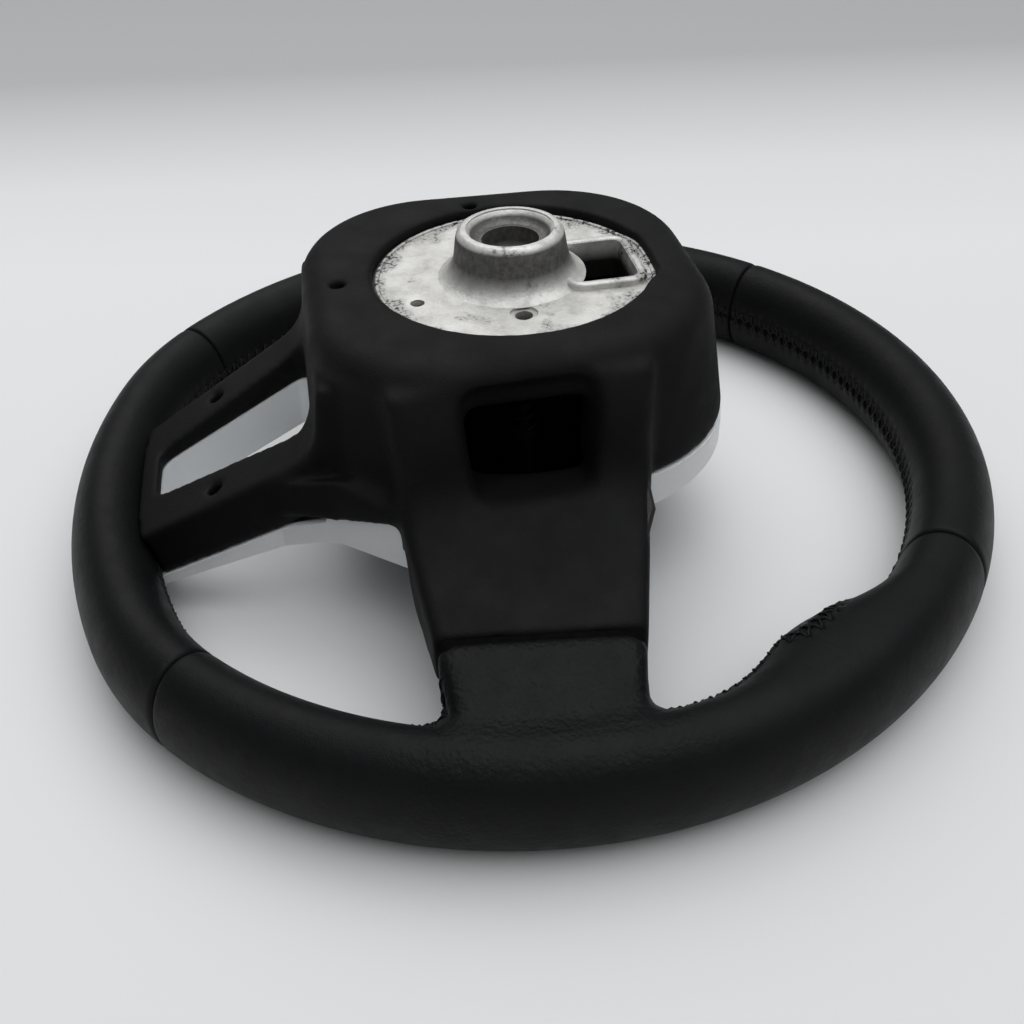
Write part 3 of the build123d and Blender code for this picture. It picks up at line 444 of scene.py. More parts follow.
def moulding_blocks():
    """What the CAD's plainer moulding lacks, as blocks that are merged with it.

    Caps close the buttresses over the casting's bars, a lip hides its flange in the port, a sill fills the
    port's foot, and a shelf closes the corner between the spoke and the arm.
    """
    foot, head = PORT_EDGES

    def run(side, first, last):
        return np.array([[(x, place(x), z) for x, z in side] for place in (first, last)])

    def across_port(side):
        return run(side, lambda x: foot - BLOCK_OVERLAP, lambda x: head + BLOCK_OVERLAP)

    shelf = [[(x, y, z) for (x, y), z in zip(SHELF_PLAN, ends)] for ends in (SHELF_FEET, SHELF_TOPS)]
    blocks = [
        run(BUTTRESS_SIDE, on_line(TONGUE_LOWER), lambda x: foot),
        run(BUTTRESS_SIDE, lambda x: head, on_line(TONGUE_UPPER)),
        across_port(PORT_LIP_SIDE),
        across_port(sill_side()),
        np.array(shelf),
    ]
    points = []
    faces = []
    for sign in (1, -1):
        for rings in blocks:
            faces += grid_faces(*rings.shape[:2], first=len(points))
            points += (rings.reshape(-1, 3) * (sign, 1, 1)).tolist()
    return mesh_of("moulding_blocks", to_frame(points), faces)


def build_moulding():
    """The hub moulding with its buttresses closed, its edges rounded and its junctions faired."""
    shape = bmesh.new()
    shape.from_mesh(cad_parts["hub_moulding"].data)
    shape.from_mesh(moulding_blocks())
    mesh = bpy.data.meshes.new("hub_moulding_skin")
    shape.to_mesh(mesh)
    shape.free()
    piece = link("hub_moulding_skin", mesh)
    remesh = piece.modifiers.new("Remesh", "REMESH")
    remesh.mode = "VOXEL"
    remesh.voxel_size = MOULDING_VOXEL * MM
    apply_modifiers(piece)
    flare_ports(piece.data)
    relax(piece.data, RELAX_ROUNDS, moulding_softness)
    decimate = piece.modifiers.new("Decimate", "DECIMATE")
    decimate.ratio = MOULDING_KEPT
    apply_modifiers(piece)
    clear_pockets(piece.data)
    smooth_shaded(piece.data)
    piece.data.materials.clear()
    piece.data.materials.append(grained_material("soft_black", tone=0.0045, grain=0.9))
    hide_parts("hub_moulding")
    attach(piece, "wheel")


# Leather

def section_angles():
    """Places round the grip's section as angles, closer together on the inner side where it is laced."""
    fine = np.linspace(0, 2 * math.pi, SECTION_SAMPLES)
    speed = np.hypot(GRIP_HALF_WIDTH * np.sin(fine), GRIP_HALF_HEIGHT * np.cos(fine))
    length = np.concatenate([[0], np.cumsum((speed[1:] + speed[:-1]) / 2 * np.diff(fine))])
    whole = length[-1]
    laced = np.arange(-LACE_RISE_SPAN, LACE_SPAN, LACE_STEP)
    rest = whole - LACE_SPAN - LACE_RISE_SPAN
    plain = np.linspace(LACE_SPAN, LACE_SPAN + rest, round(rest / PLAIN_STEP), endpoint=False)
    places = whole / 2 + np.concatenate([laced, plain])
    return np.interp(places % whole, length, fine) + 2 * math.pi * np.floor(places / whole)


def grip_distance(points):
    """About how far points lie outside the left half's round grip, thumb rest included."""
    x, y, z = np.moveaxis(points, -1, 0)
    out = np.hypot(x, y) - RIM_CENTRE
    away = np.abs(np.degrees(np.arctan2(y, x)) - THUMB_REST_ANGLE) / THUMB_REST_SPREAD
    swell = THUMB_REST_DEPTH * np.cos(np.minimum(away, 1) * math.pi / 2) ** 2
    half = GRIP_HALF_WIDTH + np.where(out < 0, swell, 0)
    up = z - GRIP_CENTRE_Z
    level = np.hypot(out / half, up / GRIP_HALF_HEIGHT)
    slope = np.hypot(out / half ** 2, up / GRIP_HALF_HEIGHT ** 2) + TINY
    return level * (level - 1) / slope


def tongue_distance(points):
    """About how far points lie outside the left spoke's leather tongue."""
    x, y, z = np.moveaxis(points, -1, 0)
    flanks = smooth_max(-beside(TONGUE_LOWER, x, y), beside(TONGUE_UPPER, x, y), TONGUE_FLANK_ROUND)
    plan = smooth_max(flanks, beside(TONGUE_END, x, y), TONGUE_END_ROUND)
    front = np.where(x < TONGUE_FRONT[0][0], TONGUE_FRONT[0][1] - z, -beside(TONGUE_FRONT, x, z))
    faces = smooth_max(beside(TONGUE_BACK, x, z), front, TONGUE_FACE_ROUND)
    return np.maximum(smooth_max(plan, faces, TONGUE_EDGE_ROUND), x - TONGUE_FRONT[1][0])


def leather_distance(points):
    """About how far points lie outside the left leather panel; the tongue flows into the grip."""
    width = FLOW_WIDTH + FLOW_WIDTH_ADDED * bell(points[..., 2] - FLOW_HEIGHT, FLOW_SPREAD)
    return smooth_min(grip_distance(points), tongue_distance(points), width)


def section_ways(heading, angles):
    """The ways outward and upward from the grip's middle to its plain section, for each heading and angle."""
    flat = np.stack([np.cos(heading), np.sin(heading), np.zeros_like(heading)], -1)
    outward = GRIP_HALF_WIDTH * np.cos(angles)[None, :, None] * flat[:, None]
    upward = GRIP_HALF_HEIGHT * np.sin(angles)[None, :, None] * np.array((0, 0, 1.0))
    return outward, upward


def cast_out(centres, heading, angles):
    """Where rays from the grip's middle, in upright planes along the headings, leave the leather."""
    outward, upward = section_ways(heading, angles)
    rays = outward + upward
    rays /= np.linalg.norm(rays, axis=-1, keepdims=True)

    def at(reach):
        return centres[:, None] + reach[..., None] * rays

    def inside(reach):
        return leather_distance(at(reach)) < 0

    return at(last_inside(inside, rays.shape[:2], RAY_REACH, RAY_HALVINGS))


class Panel:
    """One sewn panel of leather: rings of points round the grip, and the line its edges are laced along."""

    def __init__(self, name, points, angles, lace_angle, laced):
        self.name = name
        self.points = points
        ring = np.linalg.norm(np.diff(np.concatenate([points, points[:, :1]], 1), axis=1), axis=-1)
        around = np.concatenate([np.zeros((len(points), 1)), np.cumsum(ring, 1)], 1)
        rows = range(len(points))
        start = np.array([np.interp(lace_angle[row], angles, around[row, :-1]) for row in rows])
        across = around[:, :-1] - start[:, None]
        whole = around[:, -1:]
        self.across = np.where(across > whole / 2, across - whole, across)
        lace = np.array([self.on_ring(row, 0.0) for row in rows])
        self.along = np.concatenate([[0], np.cumsum(np.linalg.norm(np.diff(lace, axis=0), axis=1))])
        self.laced = laced
        middle = points.mean(1)
        self.run = np.concatenate([[0], np.cumsum(np.linalg.norm(np.diff(middle, axis=0), axis=1))])

    def on_ring(self, row, across):
        """The point of one ring at a distance across the lace."""
        order = np.argsort(self.across[row])
        values = self.points[row][order]
        return np.array([np.interp(across, self.across[row][order], values[:, axis]) for axis in range(3)])

    def normals(self):
        """The outward way at each point."""
        forward = np.gradient(self.points, axis=0)
        around = np.roll(self.points, -1, 1) - np.roll(self.points, 1, 1)
        outward = np.cross(forward, around)
        outward /= np.maximum(np.linalg.norm(outward, axis=-1, keepdims=True), TINY)
        return outward

    def relief(self):
        """Height of the leather over its plain form: rolled ends, lace groove, dents, creases and pillows."""
        ends = np.minimum(self.run, self.run[-1] - self.run)
        roll = np.clip(1 - ends / ROLL_WIDTH, 0, 1)
        height = -(ROLL_DEPTH * (1 - np.sqrt(1 - roll * roll)))[:, None] + np.zeros_like(self.across)
        phase = (self.along / STITCH_PITCH) % 1
        to_hole = np.minimum(phase, 1 - phase) * STITCH_PITCH
        side = np.abs(self.across) - STITCH_REACH
        outside = bell(np.maximum(side - CREASE_START, 0), CREASE_WIDTH) * (side > -CREASE_INSIDE)
        groove = -GROOVE_DEPTH * bell(self.across, GROOVE_WIDTH)
        dent = -DENT_DEPTH * bell(to_hole[:, None], DENT_LENGTH) * bell(side, DENT_WIDTH)
        crease = -CREASE_DEPTH * bell(to_hole[:, None], CREASE_LENGTH) * outside
        swell = (np.sin(math.pi * phase) ** 2)[:, None]
        pillow = PILLOW_HEIGHT * swell * bell(side + PILLOW_SHIFT, PILLOW_WIDTH)
        return height + (groove + dent + crease + pillow) * self.laced[:, None]

    def shape(self):
        """Raises the leather by its relief."""
        self.points = self.points + self.normals() * self.relief()[..., None]
        return self

    def at(self, along, across, lift):
        """A point over the surface, at a place along the lace and across it."""
        row = np.clip(np.searchsorted(self.along, along) - 1, 0, len(self.along) - 2)
        share = (along - self.along[row]) / (self.along[row + 1] - self.along[row])
        point = self.on_ring(row, across) * (1 - share) + self.on_ring(row + 1, across) * share
        edge = self.on_ring(row, across + EDGE_STEP) - self.on_ring(row, across - EDGE_STEP)
        ahead = self.on_ring(row + 1, across) - self.on_ring(row, across)
        outward = np.cross(ahead, edge)
        return point + lift * outward / np.linalg.norm(outward)

    def threads(self):
        """Lines of the cross stitches that lace the panel's edges together."""
        lines = []
        steps = np.linspace(0, 1, STITCH_POINTS)
        for number in range(int(self.along[-1] / STITCH_PITCH)):
            middle = (number + 0.5) * STITCH_PITCH
            if np.interp(middle, self.along, self.laced) < STITCH_LEAST:
                continue
            for way, over in ((1, 0.0), (-1, STITCH_CROSSING)):
                line = []
                for step in steps:
                    along = (number + step) * STITCH_PITCH
                    across = way * STITCH_REACH * (2 * step - 1)
                    lift = (STITCH_RISE + over) * math.sin(math.pi * step) ** STITCH_FULLNESS - STITCH_SINK
                    line.append(self.at(along, across, lift))
                lines.append(line)
        return lines

    def piece(self, mirrored=False):
        """The panel as an object, or its mirror image on the driver's right."""
        rows, columns = self.points.shape[:2]
        vertices = self.points.reshape(-1, 3) * ((-1 if mirrored else 1), 1, 1)
        faces = grid_faces(rows, columns)
        if mirrored:
            faces = [face[::-1] for face in faces]
        name = self.name.replace("left", "right") if mirrored else self.name
        piece = link(name + "_cover", mesh_of(name + "_cover", to_frame(vertices), faces))
        on_left = np.abs(vertices)
        on_left[:, 1] = vertices[:, 1]
        pull = bell(np.maximum(tongue_distance(on_left) - PULL_START, 0), PULL_SPREAD)
        strength = piece.data.attributes.new("pull", "FLOAT", "POINT")
        strength.data.foreach_set("value", pull.astype(np.float32))
        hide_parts(name)
        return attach(piece, "wheel")


def stations(first, last, radius):
    """Evenly spaced angles in radians between two in degrees, half a seam's gap short of each."""
    gap = math.degrees(SEAM_GAP / 2 / RIM_CENTRE)
    span = math.radians(last - first - 2 * gap)
    count = round(span * radius / STATION_STEP)
    return np.linspace(math.radians(first + gap), math.radians(last - gap), count)


def round_section(centres, heading, angles):
    """Rings of the plain grip at places on the rim's centre line, each facing its heading."""
    outward, upward = section_ways(heading, angles)
    return centres[:, None] + outward + upward


def on_circle(turn, radius=RIM_CENTRE, middle=(0.0, 0.0)):
    """Points on an arc of the rim's centre line."""
    heights = np.full_like(turn, GRIP_CENTRE_Z)
    return np.stack([middle[0] + radius * np.cos(turn), middle[1] + radius * np.sin(turn), heights], -1)


def left_panel(angles):
    """The side panel on the driver's left, with its thumb rest and its tongue over the spoke."""
    turn = stations(FOOT_SEAM - 90, 90 - TOP_SEAM, RIM_CENTRE - GRIP_HALF_WIDTH)
    degrees = np.degrees(turn)
    heading = np.radians(smooth_through(HEADINGS, degrees))
    points = cast_out(on_circle(turn), heading, angles)
    on_spoke = smooth_step(*LACE_SPOKE_FROM, degrees) * smooth_step(*LACE_SPOKE_TO, degrees)
    on_rest = bell(degrees - LACE_REST_ANGLE, LACE_REST_SPREAD)
    lace_angle = math.pi - math.radians(LACE_SPOKE_RISE) * on_spoke - math.radians(LACE_REST_RISE) * on_rest
    laced = 1 - smooth_step(*UNLACED_FROM, degrees) * smooth_step(*UNLACED_TO, degrees)
    return Panel("leather_left", points, angles, lace_angle, laced).shape()


def plain_panel(name, centres, heading, angles):
    """A panel of plain grip, laced all along its inner side."""
    points = round_section(centres, heading, angles)
    count = len(heading)
    return Panel(name, points, angles, np.full(count, math.pi), np.ones(count)).shape()


def top_panel(angles):
    """The panel over 12 o'clock."""
    turn = stations(90 - TOP_SEAM, 90 + TOP_SEAM, RIM_CENTRE - GRIP_HALF_WIDTH)
    return plain_panel("leather_top", on_circle(turn), turn, angles)


def foot_panel(angles):
    """The panel over the flattened foot: a corner arc, a flatter arc and a corner arc."""
    half = math.radians(FOOT_SEAM)
    reach = RIM_CENTRE - FOOT_CORNER_RADIUS
    lowest = RIM_CENTRE - FOOT_FLAT
    corner = (reach * math.sin(half), -reach * math.cos(half))
    rise = -corner[1] - lowest
    beyond = FOOT_CORNER_RADIUS ** 2 - rise ** 2 - corner[0] ** 2
    flat_radius = beyond / (2 * (rise + FOOT_CORNER_RADIUS))
    lean = math.atan2(corner[0], flat_radius - lowest - corner[1])
    arcs = [
        ((-corner[0], corner[1]), FOOT_CORNER_RADIUS, -half, -lean),
        ((0.0, flat_radius - lowest), flat_radius, -lean, lean),
        (corner, FOOT_CORNER_RADIUS, lean, half),
    ]
    centres, headings = [], []
    for middle, radius, start, finish in arcs:
        count = round((finish - start) * radius / STATION_STEP)
        turn = np.linspace(start, finish, count, endpoint=middle is corner) - math.pi / 2
        centres.append(on_circle(turn, radius, middle))
        headings.append(turn)
    return plain_panel("leather_foot", np.concatenate(centres), np.concatenate(headings), angles)


def build_leather():
    """All four panels, and the thread that laces them."""
    angles = section_angles()
    left = left_panel(angles)
    panels = [left, top_panel(angles), foot_panel(angles)]
    leather = leather_material()
    pieces = [panel.piece() for panel in panels] + [left.piece(mirrored=True)]
    for piece in pieces:
        piece.data.materials.append(leather)
    lines = [line for panel in panels for line in panel.threads()]
    lines += [np.asarray(line) * (-1, 1, 1) for line in left.threads()]
    thread = link("lacing_thread", tube_mesh("lacing_thread", lines, THREAD_RADIUS, THREAD_SIDES))
    thread.data.materials.append(thread_material())
    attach(thread, "wheel")


# Hub plate's cast details

def rounded_box(x, y, half, corner):
    """Signed distance of plan points from a rectangle with rounded corners about the window's centre."""
    dx = np.abs(x - WINDOW_CENTRE[0]) - half[0] + corner
    dy = np.abs(y - WINDOW_CENTRE[1]) - half[1] + corner
    return np.hypot(np.maximum(dx, 0), np.maximum(dy, 0)) + np.minimum(np.maximum(dx, dy), 0) - corner


def outline(distance, middle, height, count):
    """A closed line at one height where a plan distance is zero, seen from a point inside it."""
    turn = np.linspace(0, 2 * math.pi, count, endpoint=False)

    def at(reach):
        return middle[0] + reach * np.cos(turn), middle[1] + reach * np.sin(turn)

    reach = last_inside(lambda tried: distance(*at(tried)) < 0, count, OUTLINE_REACH, OUTLINE_HALVINGS)
    return np.stack([*at(reach), np.full(count, height)], -1)


def build_plate_details(cast):
    """The bead round the plate's edge, the lip round its window and the boss's faired foot and lip."""
    lobe = [size + WINDOW_BORDER for size in WINDOW_HALF]

    def inside_edge(x, y):
        round_part = np.hypot(x, y) - PLATE_RADIUS
        lobe_part = rounded_box(x, y, lobe, WINDOW_CORNER + WINDOW_BORDER)
        return smooth_min(round_part, lobe_part, PLATE_LOBE_ROUND) + BEAD_INSET

    def lip_middle(x, y):
        half = [size + LIP_RADIUS for size in WINDOW_HALF]
        return rounded_box(x, y, half, WINDOW_CORNER + LIP_RADIUS)

    bead = outline(inside_edge, BEAD_MIDDLE, PLATE_TOP, BEAD_POINTS)
    lip = outline(lip_middle, WINDOW_CENTRE, PLATE_TOP + WINDOW_BORDER_HEIGHT - LIP_SINK, LIP_POINTS)
    turn = np.linspace(0, 2 * math.pi, BOSS_SIDES, endpoint=False)
    boss = np.array([[(r * math.cos(a), r * math.sin(a), z) for a in turn] for r, z in BOSS_PROFILE])
    meshes = [
        tube_mesh("plate_bead", [bead], BEAD_RADIUS, TUBE_SIDES, closed=True, flatten=BEAD_FLATNESS),
        tube_mesh("window_lip", [lip], LIP_RADIUS, TUBE_SIDES, closed=True, flatten=LIP_FLATNESS),
        mesh_of("boss_skin", to_frame(boss.reshape(-1, 3)), grid_faces(*boss.shape[:2], caps=False)),
    ]
    for mesh in meshes:
        piece = link(mesh.name, mesh)
        mesh.materials.append(cast)
        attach(piece, "wheel")


# Materials

class Shader:
    """A Principled material and short ways to add to its nodes."""

    def __init__(self, name, colour, roughness, metallic=0.0, specular=0.5):
        self.material = bpy.data.materials.new(name)
        self.material.use_nodes = True
        self.nodes = self.material.node_tree.nodes
        self.links = self.material.node_tree.links
        self.body = self.nodes["Principled BSDF"]
        self.body.inputs["Base Color"].default_value = (*colour, 1)
        self.body.inputs["Roughness"].default_value = roughness
        self.body.inputs["Metallic"].default_value = metallic
        self.body.inputs["Specular IOR Level"].default_value = specular
        self.place = self.nodes.new("ShaderNodeTexCoord").outputs["Object"]
        self.top = None

    def add(self, kind, **inputs):
        """A new node; an input, named by label or as _number, is a value or a socket to link from."""
        node = self.nodes.new(kind)
        for name, value in inputs.items():
            socket = node.inputs[int(name[1:])] if name[0] == "_" else node.inputs[name.replace("_", " ")]
            if isinstance(value, bpy.types.NodeSocket):
                self.links.new(value, socket)
            else:
                socket.default_value = value
        return node

    def noise(self, size, detail=3.0, roughness=0.55):
        """Cloudy noise whose features are about that many millimetres."""
        settings = {"Scale": 1 / MM / size, "Detail": detail, "Roughness": roughness}
        node = self.add("ShaderNodeTexNoise", Vector=self.place, **settings)
        return node.outputs["Fac"]

    def cells(self, size, feature="DISTANCE_TO_EDGE"):
        """Cells about that many millimetres across."""
        node = self.add("ShaderNodeTexVoronoi", Vector=self.place, Scale=1 / MM / size)
        node.feature = feature
        return node.outputs["Distance"]

    def ramp(self, value, *stops):
        """A value turned into a colour or grey by (place, colour) stops."""
        node = self.add("ShaderNodeValToRGB", Fac=value)
        points = node.color_ramp.elements
        while len(points) < len(stops):
            points.new(0.5)
        for point, (place, colour) in zip(points, stops):
            point.position = place
            point.color = (*colour, 1) if isinstance(colour, tuple) else (colour, colour, colour, 1)
        return node.outputs["Color"]

    def between(self, value, start, finish):
        """0 where a value is at start, 1 at finish."""
        node = self.add("ShaderNodeMapRange", Value=value)
        node.inputs["From Min"].default_value = start
        node.inputs["From Max"].default_value = finish
        return node.outputs["Result"]

    def span(self, value, ends):
        """0 where a length in metres is at the first of two ends in millimetres, 1 at the second."""
        return self.between(value, ends[0] * MM, ends[1] * MM)

    def mixed(self, share, first, second):
        """The first colour, and more of the second as share rises to 1."""
        node = self.add("ShaderNodeMix", Factor=share, _6=first, _7=second)
        node.data_type = "RGBA"
        return node.outputs[2]

    def math(self, operation, first, second):
        """Two values joined by an operation."""
        node = self.add("ShaderNodeMath", _0=first, _1=second)
        node.operation = operation
        return node.outputs[0]

    def times(self, first, second):
        return self.math("MULTIPLY", first, second)

    def sum(self, first, second):
        return self.math("ADD", first, second)

    def larger(self, first, second):
        return self.math("MAXIMUM", first, second)

    def bump(self, height, depth, strength=1.0):
        """Adds relief that many millimetres deep on top of what there is."""
        node = self.add("ShaderNodeBump", Height=height, Strength=strength, Distance=depth * MM)
        if self.top:
            self.links.new(self.top, node.inputs["Normal"])
        self.top = node.outputs["Normal"]
        self.links.new(self.top, self.body.inputs["Normal"])

    def set(self, name, value):
        """Links a socket to one of the body's inputs."""
        self.links.new(value, self.body.inputs[name])


def leather_material():
    """Smooth black leather: fine grain, soft wrinkles, and pebbles where it is pulled over the spoke."""
    shader = Shader("leather", (0.004, 0.0042, 0.0046), 0.5, specular=0.12)
    pull = shader.add("ShaderNodeAttribute")
    pull.attribute_name = "pull"
    pulled = pull.outputs["Fac"]
    dark, light = (0.0034, 0.0036, 0.004), (0.0048, 0.005, 0.0054)
    shader.set("Base Color", shader.ramp(shader.noise(28), (0.3, dark), (0.7, light)))
    shader.set("Roughness", shader.ramp(shader.noise(9), (0.3, 0.44), (0.75, 0.56)))
    shader.bump(shader.cells(0.9), depth=0.16, strength=0.7)
    shader.bump(shader.noise(2.6, detail=4.0), depth=0.3, strength=0.5)
    pebbles = shader.cells(1.5, "SMOOTH_F1")
    wrinkles = shader.noise(3.4, detail=4.0, roughness=0.6)
    shader.bump(shader.times(pebbles, pulled), depth=0.4, strength=0.7)
    shader.bump(shader.times(wrinkles, pulled), depth=0.55, strength=0.7)
    return shader.material


def thread_material():
    """Black lacing thread with its twist."""
    shader = Shader("thread", (0.0025, 0.0025, 0.0028), 0.65, specular=0.25)
    shader.set("Roughness", shader.ramp(shader.noise(1.5), (0.3, 0.5), (0.7, 0.7)))
    shader.bump(shader.noise(0.5), depth=0.12, strength=0.6)
    return shader.material


def grained_material(name, tone, grain, roughness=0.62, specular=0.12):
    """Matte black moulding with a fine pebbled grain that many millimetres across."""
    shader = Shader(name, (tone, tone, tone * 1.06), roughness, specular=specular)
    light = (tone * 1.25, tone * 1.25, tone * 1.32)
    dark = (tone * 0.8, tone * 0.8, tone * 0.86)
    shader.set("Base Color", shader.ramp(shader.noise(35), (0.3, dark), (0.7, light)))
    shader.set("Roughness", shader.ramp(shader.noise(14), (0.3, roughness - 0.07), (0.7, roughness + 0.07)))
    shader.bump(shader.cells(grain), depth=0.22, strength=0.8)
    shader.bump(shader.noise(grain / 2), depth=0.12, strength=0.6)
    return shader.material


def cast_material():
    """Mottled die-cast aluminium with pits near the plate's edge and brush scratches on the boss; painted
    shade darkens the boss's side, the casting from the plate's rim outward and all below the plate.
    """
    shader = Shader("cast_aluminium", (0.45, 0.45, 0.44), 0.5, metallic=0.5)
    flat = shader.add("ShaderNodeVectorMath", _0=shader.place, _1=(1.0, 1.0, 0.0))
    flat.operation = "MULTIPLY"
    radius = shader.add("ShaderNodeVectorMath", _0=flat.outputs[0])
    radius.operation = "LENGTH"
    radius = radius.outputs["Value"]
    parts = shader.add("ShaderNodeSeparateXYZ", Vector=shader.place).outputs

    def at_height(ends):
        return shader.span(parts["Z"], [end + FACE_Z for end in ends])

    blotch = shader.noise(11, detail=6.0, roughness=0.65)
    dark, middle, light = (0.42, 0.41, 0.39), (0.62, 0.61, 0.585), (0.74, 0.73, 0.7)
    mottled = shader.ramp(blotch, (0.28, dark), (0.5, middle), (0.72, light))
    deep, shallow = (0.03, 0.029, 0.027), (0.42, 0.414, 0.4)
    pits = shader.ramp(shader.noise(1.5, detail=2.0), (0.42, deep), (0.5, shallow))
    share = shader.sum(shader.noise(13), shader.times(shader.span(radius, PLATE_STAINED), 0.22))
    plate = shader.mixed(shader.between(share, 0.58, 0.74), mottled, pits)
    scratches = shader.noise(2.2, detail=5.0, roughness=0.7)
    # Painted shade: the boss's side is made far darker than the plate, over its brush scratches; its lip
    # keeps the plate's colour
    brushed_and_shaded = shader.ramp(scratches, (0.3, (0.07, 0.068, 0.063)), (0.7, (0.17, 0.166, 0.158)))
    boss = shader.times(at_height(BOSS_BRUSHED_SHADE_FROM), at_height(BOSS_BRUSHED_SHADE_TO))
    cast = shader.mixed(boss, plate, brushed_and_shaded)
    # Painted shade: near black on the casting from the plate's rim outward, except towards the window, and on
    # all of it below the plate's top
    gap = shader.times(shader.span(radius, PLATE_GAP), shader.span(parts["Y"], PLATE_GAP_END))
    painted_shade = shader.larger(gap, at_height(SHADE_BELOW_PLATE))
    shader.set("Base Color", shader.mixed(painted_shade, cast, (0.018, 0.0175, 0.016, 1.0)))
    shader.set("Roughness", shader.ramp(shader.noise(3, detail=4.0), (0.3, 0.38), (0.7, 0.6)))
    shader.bump(shader.noise(1.1, detail=4.0), depth=0.25, strength=0.7)
    shader.bump(shader.noise(7), depth=0.5, strength=0.3)
    return shader.material


def silver_material():
    """Pale blue-grey satin silver lacquer with a fine flake."""
    shader = Shader("satin_silver", (0.9, 0.915, 0.93), 0.36, metallic=0.1)
    dark, light = (0.87, 0.89, 0.905), (0.92, 0.935, 0.95)
    shader.set("Base Color", shader.ramp(shader.noise(0.4), (0.35, dark), (0.65, light)))
    shader.set("Roughness", shader.ramp(shader.noise(20), (0.3, 0.3), (0.7, 0.38)))
    shader.bump(shader.noise(0.35), depth=0.02, strength=0.4)
    return shader.material


def plain_material(name, colour, roughness, metallic=0.0, size=6.0, specular=0.5):
    """A plain finish with slight changes of tone and gloss."""
    shader = Shader(name, colour, roughness, metallic, specular)
    dark = tuple(0.85 * part for part in colour)
    light = tuple(1.15 * part for part in colour)
    shader.set("Base Color", shader.ramp(shader.noise(size), (0.3, dark), (0.7, light)))
    gloss = shader.ramp(shader.noise(size / 2), (0.3, roughness * 0.85), (0.7, roughness * 1.15))
    shader.set("Roughness", gloss)
    shader.bump(shader.noise(size / 8), depth=0.05, strength=0.4)
    return shader.material


def dress(material, *names):
    """Gives CAD nodes a material, and smooth shading across their shallow edges."""
    for name in names:
        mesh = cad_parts[name].data
        mesh.materials.clear()
        mesh.materials.append(material)
        smooth_shaded(mesh)
        mesh.set_sharp_from_angle(angle=math.radians(SHARP_ANGLE))


# Stage, light and camera

def build_stage():
    """A pale floor, darkened far behind the wheel as painted shade, open from below."""
    corners = [(x * FLOOR_HALF, y * FLOOR_HALF, 0.0) for x, y in ((-1, -1), (1, -1), (1, 1), (-1, 1))]
    mesh = mesh_of("floor", to_frame(corners), [(0, 1, 2, 3)])
    floor = link("floor", mesh)
    shader = Shader("floor", (0.8, 0.8, 0.8), 0.9, specular=0.1)
    heading = math.radians(CAMERA_HEADING)
    ahead = (-math.cos(heading), math.sin(heading), 0.0)
    along = shader.add("ShaderNodeVectorMath", _0=shader.place, _1=ahead)
    along.operation = "DOT_PRODUCT"
    reach = shader.span(along.outputs["Value"], FLOOR_RANGE)
    # Painted shade: the floor's colour darkens with distance behind the wheel
    shader.set("Base Color", shader.ramp(reach, *FLOOR_SHADE_TONES))
    below = shader.add("ShaderNodeNewGeometry").outputs["Backfacing"]
    clear = shader.add("ShaderNodeBsdfTransparent").outputs[0]
    mix = shader.add("ShaderNodeMixShader", Fac=below, _1=shader.body.outputs[0], _2=clear)
    shader.links.new(mix.outputs[0], shader.nodes["Material Output"].inputs["Surface"])
    mesh.materials.append(shader.material)


def build_lamp():
    """One large soft lamp, high up beyond the wheel."""
    lamp = bpy.data.lights.new("key", "AREA")
    lamp.shape = "DISK"
    lamp.size = KEY_SIZE
    lamp.energy = KEY_POWER
    piece = link("key", lamp)
    piece.location = KEY_PLACE
    piece.rotation_mode = "QUATERNION"
    piece.rotation_quaternion = (Vector(KEY_TARGET) - Vector(KEY_PLACE)).to_track_quat("-Z", "Y")


def build_surroundings():
    """Soft studio light from all round, brightest overhead."""
    world = bpy.data.worlds.new("world")
    bpy.context.scene.world = world
    world.use_nodes = True
    nodes, links = world.node_tree.nodes, world.node_tree.links
    toward = nodes.new("ShaderNodeVectorMath")
    toward.operation = "DOT_PRODUCT"
    toward.inputs[1].default_value = SKY_BRIGHT_WAY
    links.new(nodes.new("ShaderNodeTexCoord").outputs["Generated"], toward.inputs[0])
    tone = nodes.new("ShaderNodeMapRange")
    tone.interpolation_type = "SMOOTHSTEP"
    for name, value in zip(("From Min", "From Max", "To Min", "To Max"), SKY_RANGE):
        tone.inputs[name].default_value = value
    links.new(toward.outputs["Value"], tone.inputs["Value"])
    background = nodes["Background"]
    background.inputs["Color"].default_value = SKY_COLOUR
    links.new(tone.outputs["Result"], background.inputs["Strength"])


def build_camera():
    """The camera that the photograph was taken with."""
    heading = math.radians(CAMERA_HEADING)
    sine, cosine = math.sin(heading), math.cos(heading)
    to_wheel = Matrix(((sine, -cosine, 0), (cosine, sine, 0), (0, 0, 1)))
    yaw, pitch = CAMERA_YAW, CAMERA_PITCH
    ahead = Vector((math.sin(yaw) * math.cos(pitch), math.cos(yaw) * math.cos(pitch), -math.sin(pitch)))
    right = ahead.cross(Vector((0, 0, 1))).normalized()
    up = right.cross(ahead)
    sine, cosine = math.sin(CAMERA_ROLL), math.cos(CAMERA_ROLL)
    rolled = [to_wheel @ axis for axis in (cosine * right + sine * up, cosine * up - sine * right, -ahead)]
    camera = bpy.data.cameras.new("camera")
    camera.lens = CAMERA_LENS
    camera.sensor_width = CAMERA_SENSOR
    camera.clip_start = CAMERA_NEAR
    piece = link("camera", camera)
    eye = Matrix.Translation(Vector(to_frame(CAMERA_EYE)))
    piece.matrix_world = eye @ Matrix(rolled).transposed().to_4x4()
    bpy.context.scene.camera = piece


# Pieces

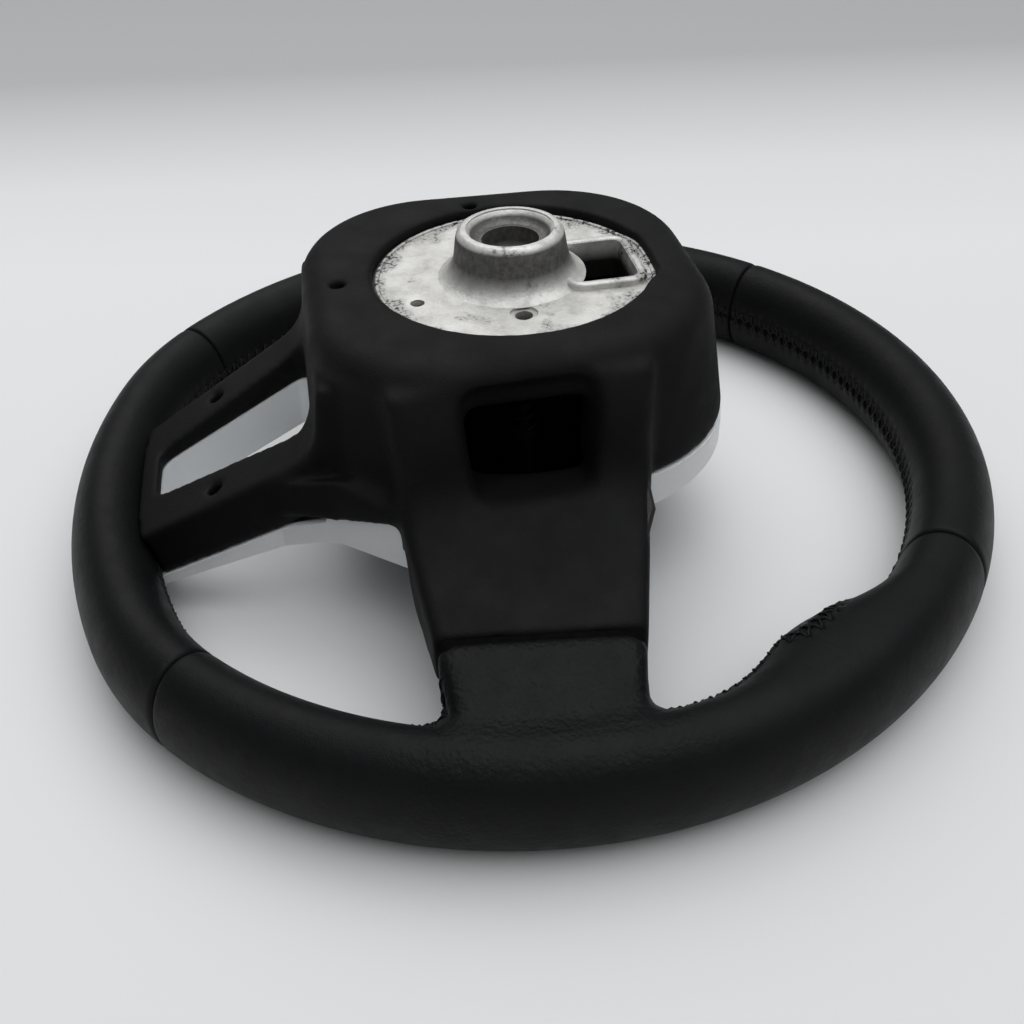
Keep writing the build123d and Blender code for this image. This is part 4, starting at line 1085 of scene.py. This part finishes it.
def build_springs():
    """The horn's springs as a piece with its own mesh; in the real wheel they shorten as the pad is pressed.
    """
    springs = link("horn_coils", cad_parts["horn_springs"].data.copy())
    smooth_shaded(springs.data)
    springs.data.materials.clear()
    # Near-black finish, made darker still as painted shade inside the ports
    black = plain_material("spring_black_shaded", (0.0015, 0.0015, 0.0016), 0.7, specular=0.06)
    springs.data.materials.append(black)
    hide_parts("horn_springs")
    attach(springs, "wheel")
    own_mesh(springs)


def build_wheel():
    """All pieces of the wheel with their materials."""
    build_moulding()
    build_leather()
    cast = cast_material()
    dress(cast, "armature")
    build_plate_details(cast)
    dress(silver_material(), "front_trim")
    dress(plain_material("zinc", (0.3, 0.3, 0.29), 0.4, metallic=0.9), "trim_screws")
    # Near-black finish on the can, pins and inflator, made darker still as painted shade inside the ports
    black_steel_shaded = plain_material("black_steel_shaded", (0.0012, 0.0012, 0.0013), 0.75, specular=0.05)
    dress(black_steel_shaded, "airbag_can", "guide_pins", "inflator")
    dress(plain_material("cushion_cloth", (0.6, 0.6, 0.57), 0.9), "airbag_cushion")
    dress(plain_material("foam", (0.002, 0.002, 0.0021), 0.9, specular=0.05), "rim_padding")
    dress(grained_material("cover_black", tone=0.005, grain=1.1), "horn_cover")
    dress(plain_material("board", (0.02, 0.11, 0.05), 0.5), "switch_board_left", "switch_board_right")
    gloss_black = plain_material("gloss_black", (0.006, 0.006, 0.0065), 0.12)
    dress(gloss_black, "switch_pack_left", "switch_pack_right")
    buttons = [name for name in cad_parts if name.startswith(("button", "thumb_roller"))]
    dress(grained_material("button_black", tone=0.006, grain=0.6, roughness=0.5), *buttons)
    build_springs()


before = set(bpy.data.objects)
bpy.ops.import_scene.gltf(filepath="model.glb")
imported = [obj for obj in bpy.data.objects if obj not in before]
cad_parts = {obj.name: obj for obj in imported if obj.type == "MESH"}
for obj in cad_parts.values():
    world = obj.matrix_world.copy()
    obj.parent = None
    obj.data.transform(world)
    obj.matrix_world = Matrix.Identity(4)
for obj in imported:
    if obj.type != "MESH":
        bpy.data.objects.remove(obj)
bpy.context.scene.view_settings.view_transform = "Standard"
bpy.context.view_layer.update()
build_wheel()
build_stage()
build_lamp()
build_surroundings()
build_camera()
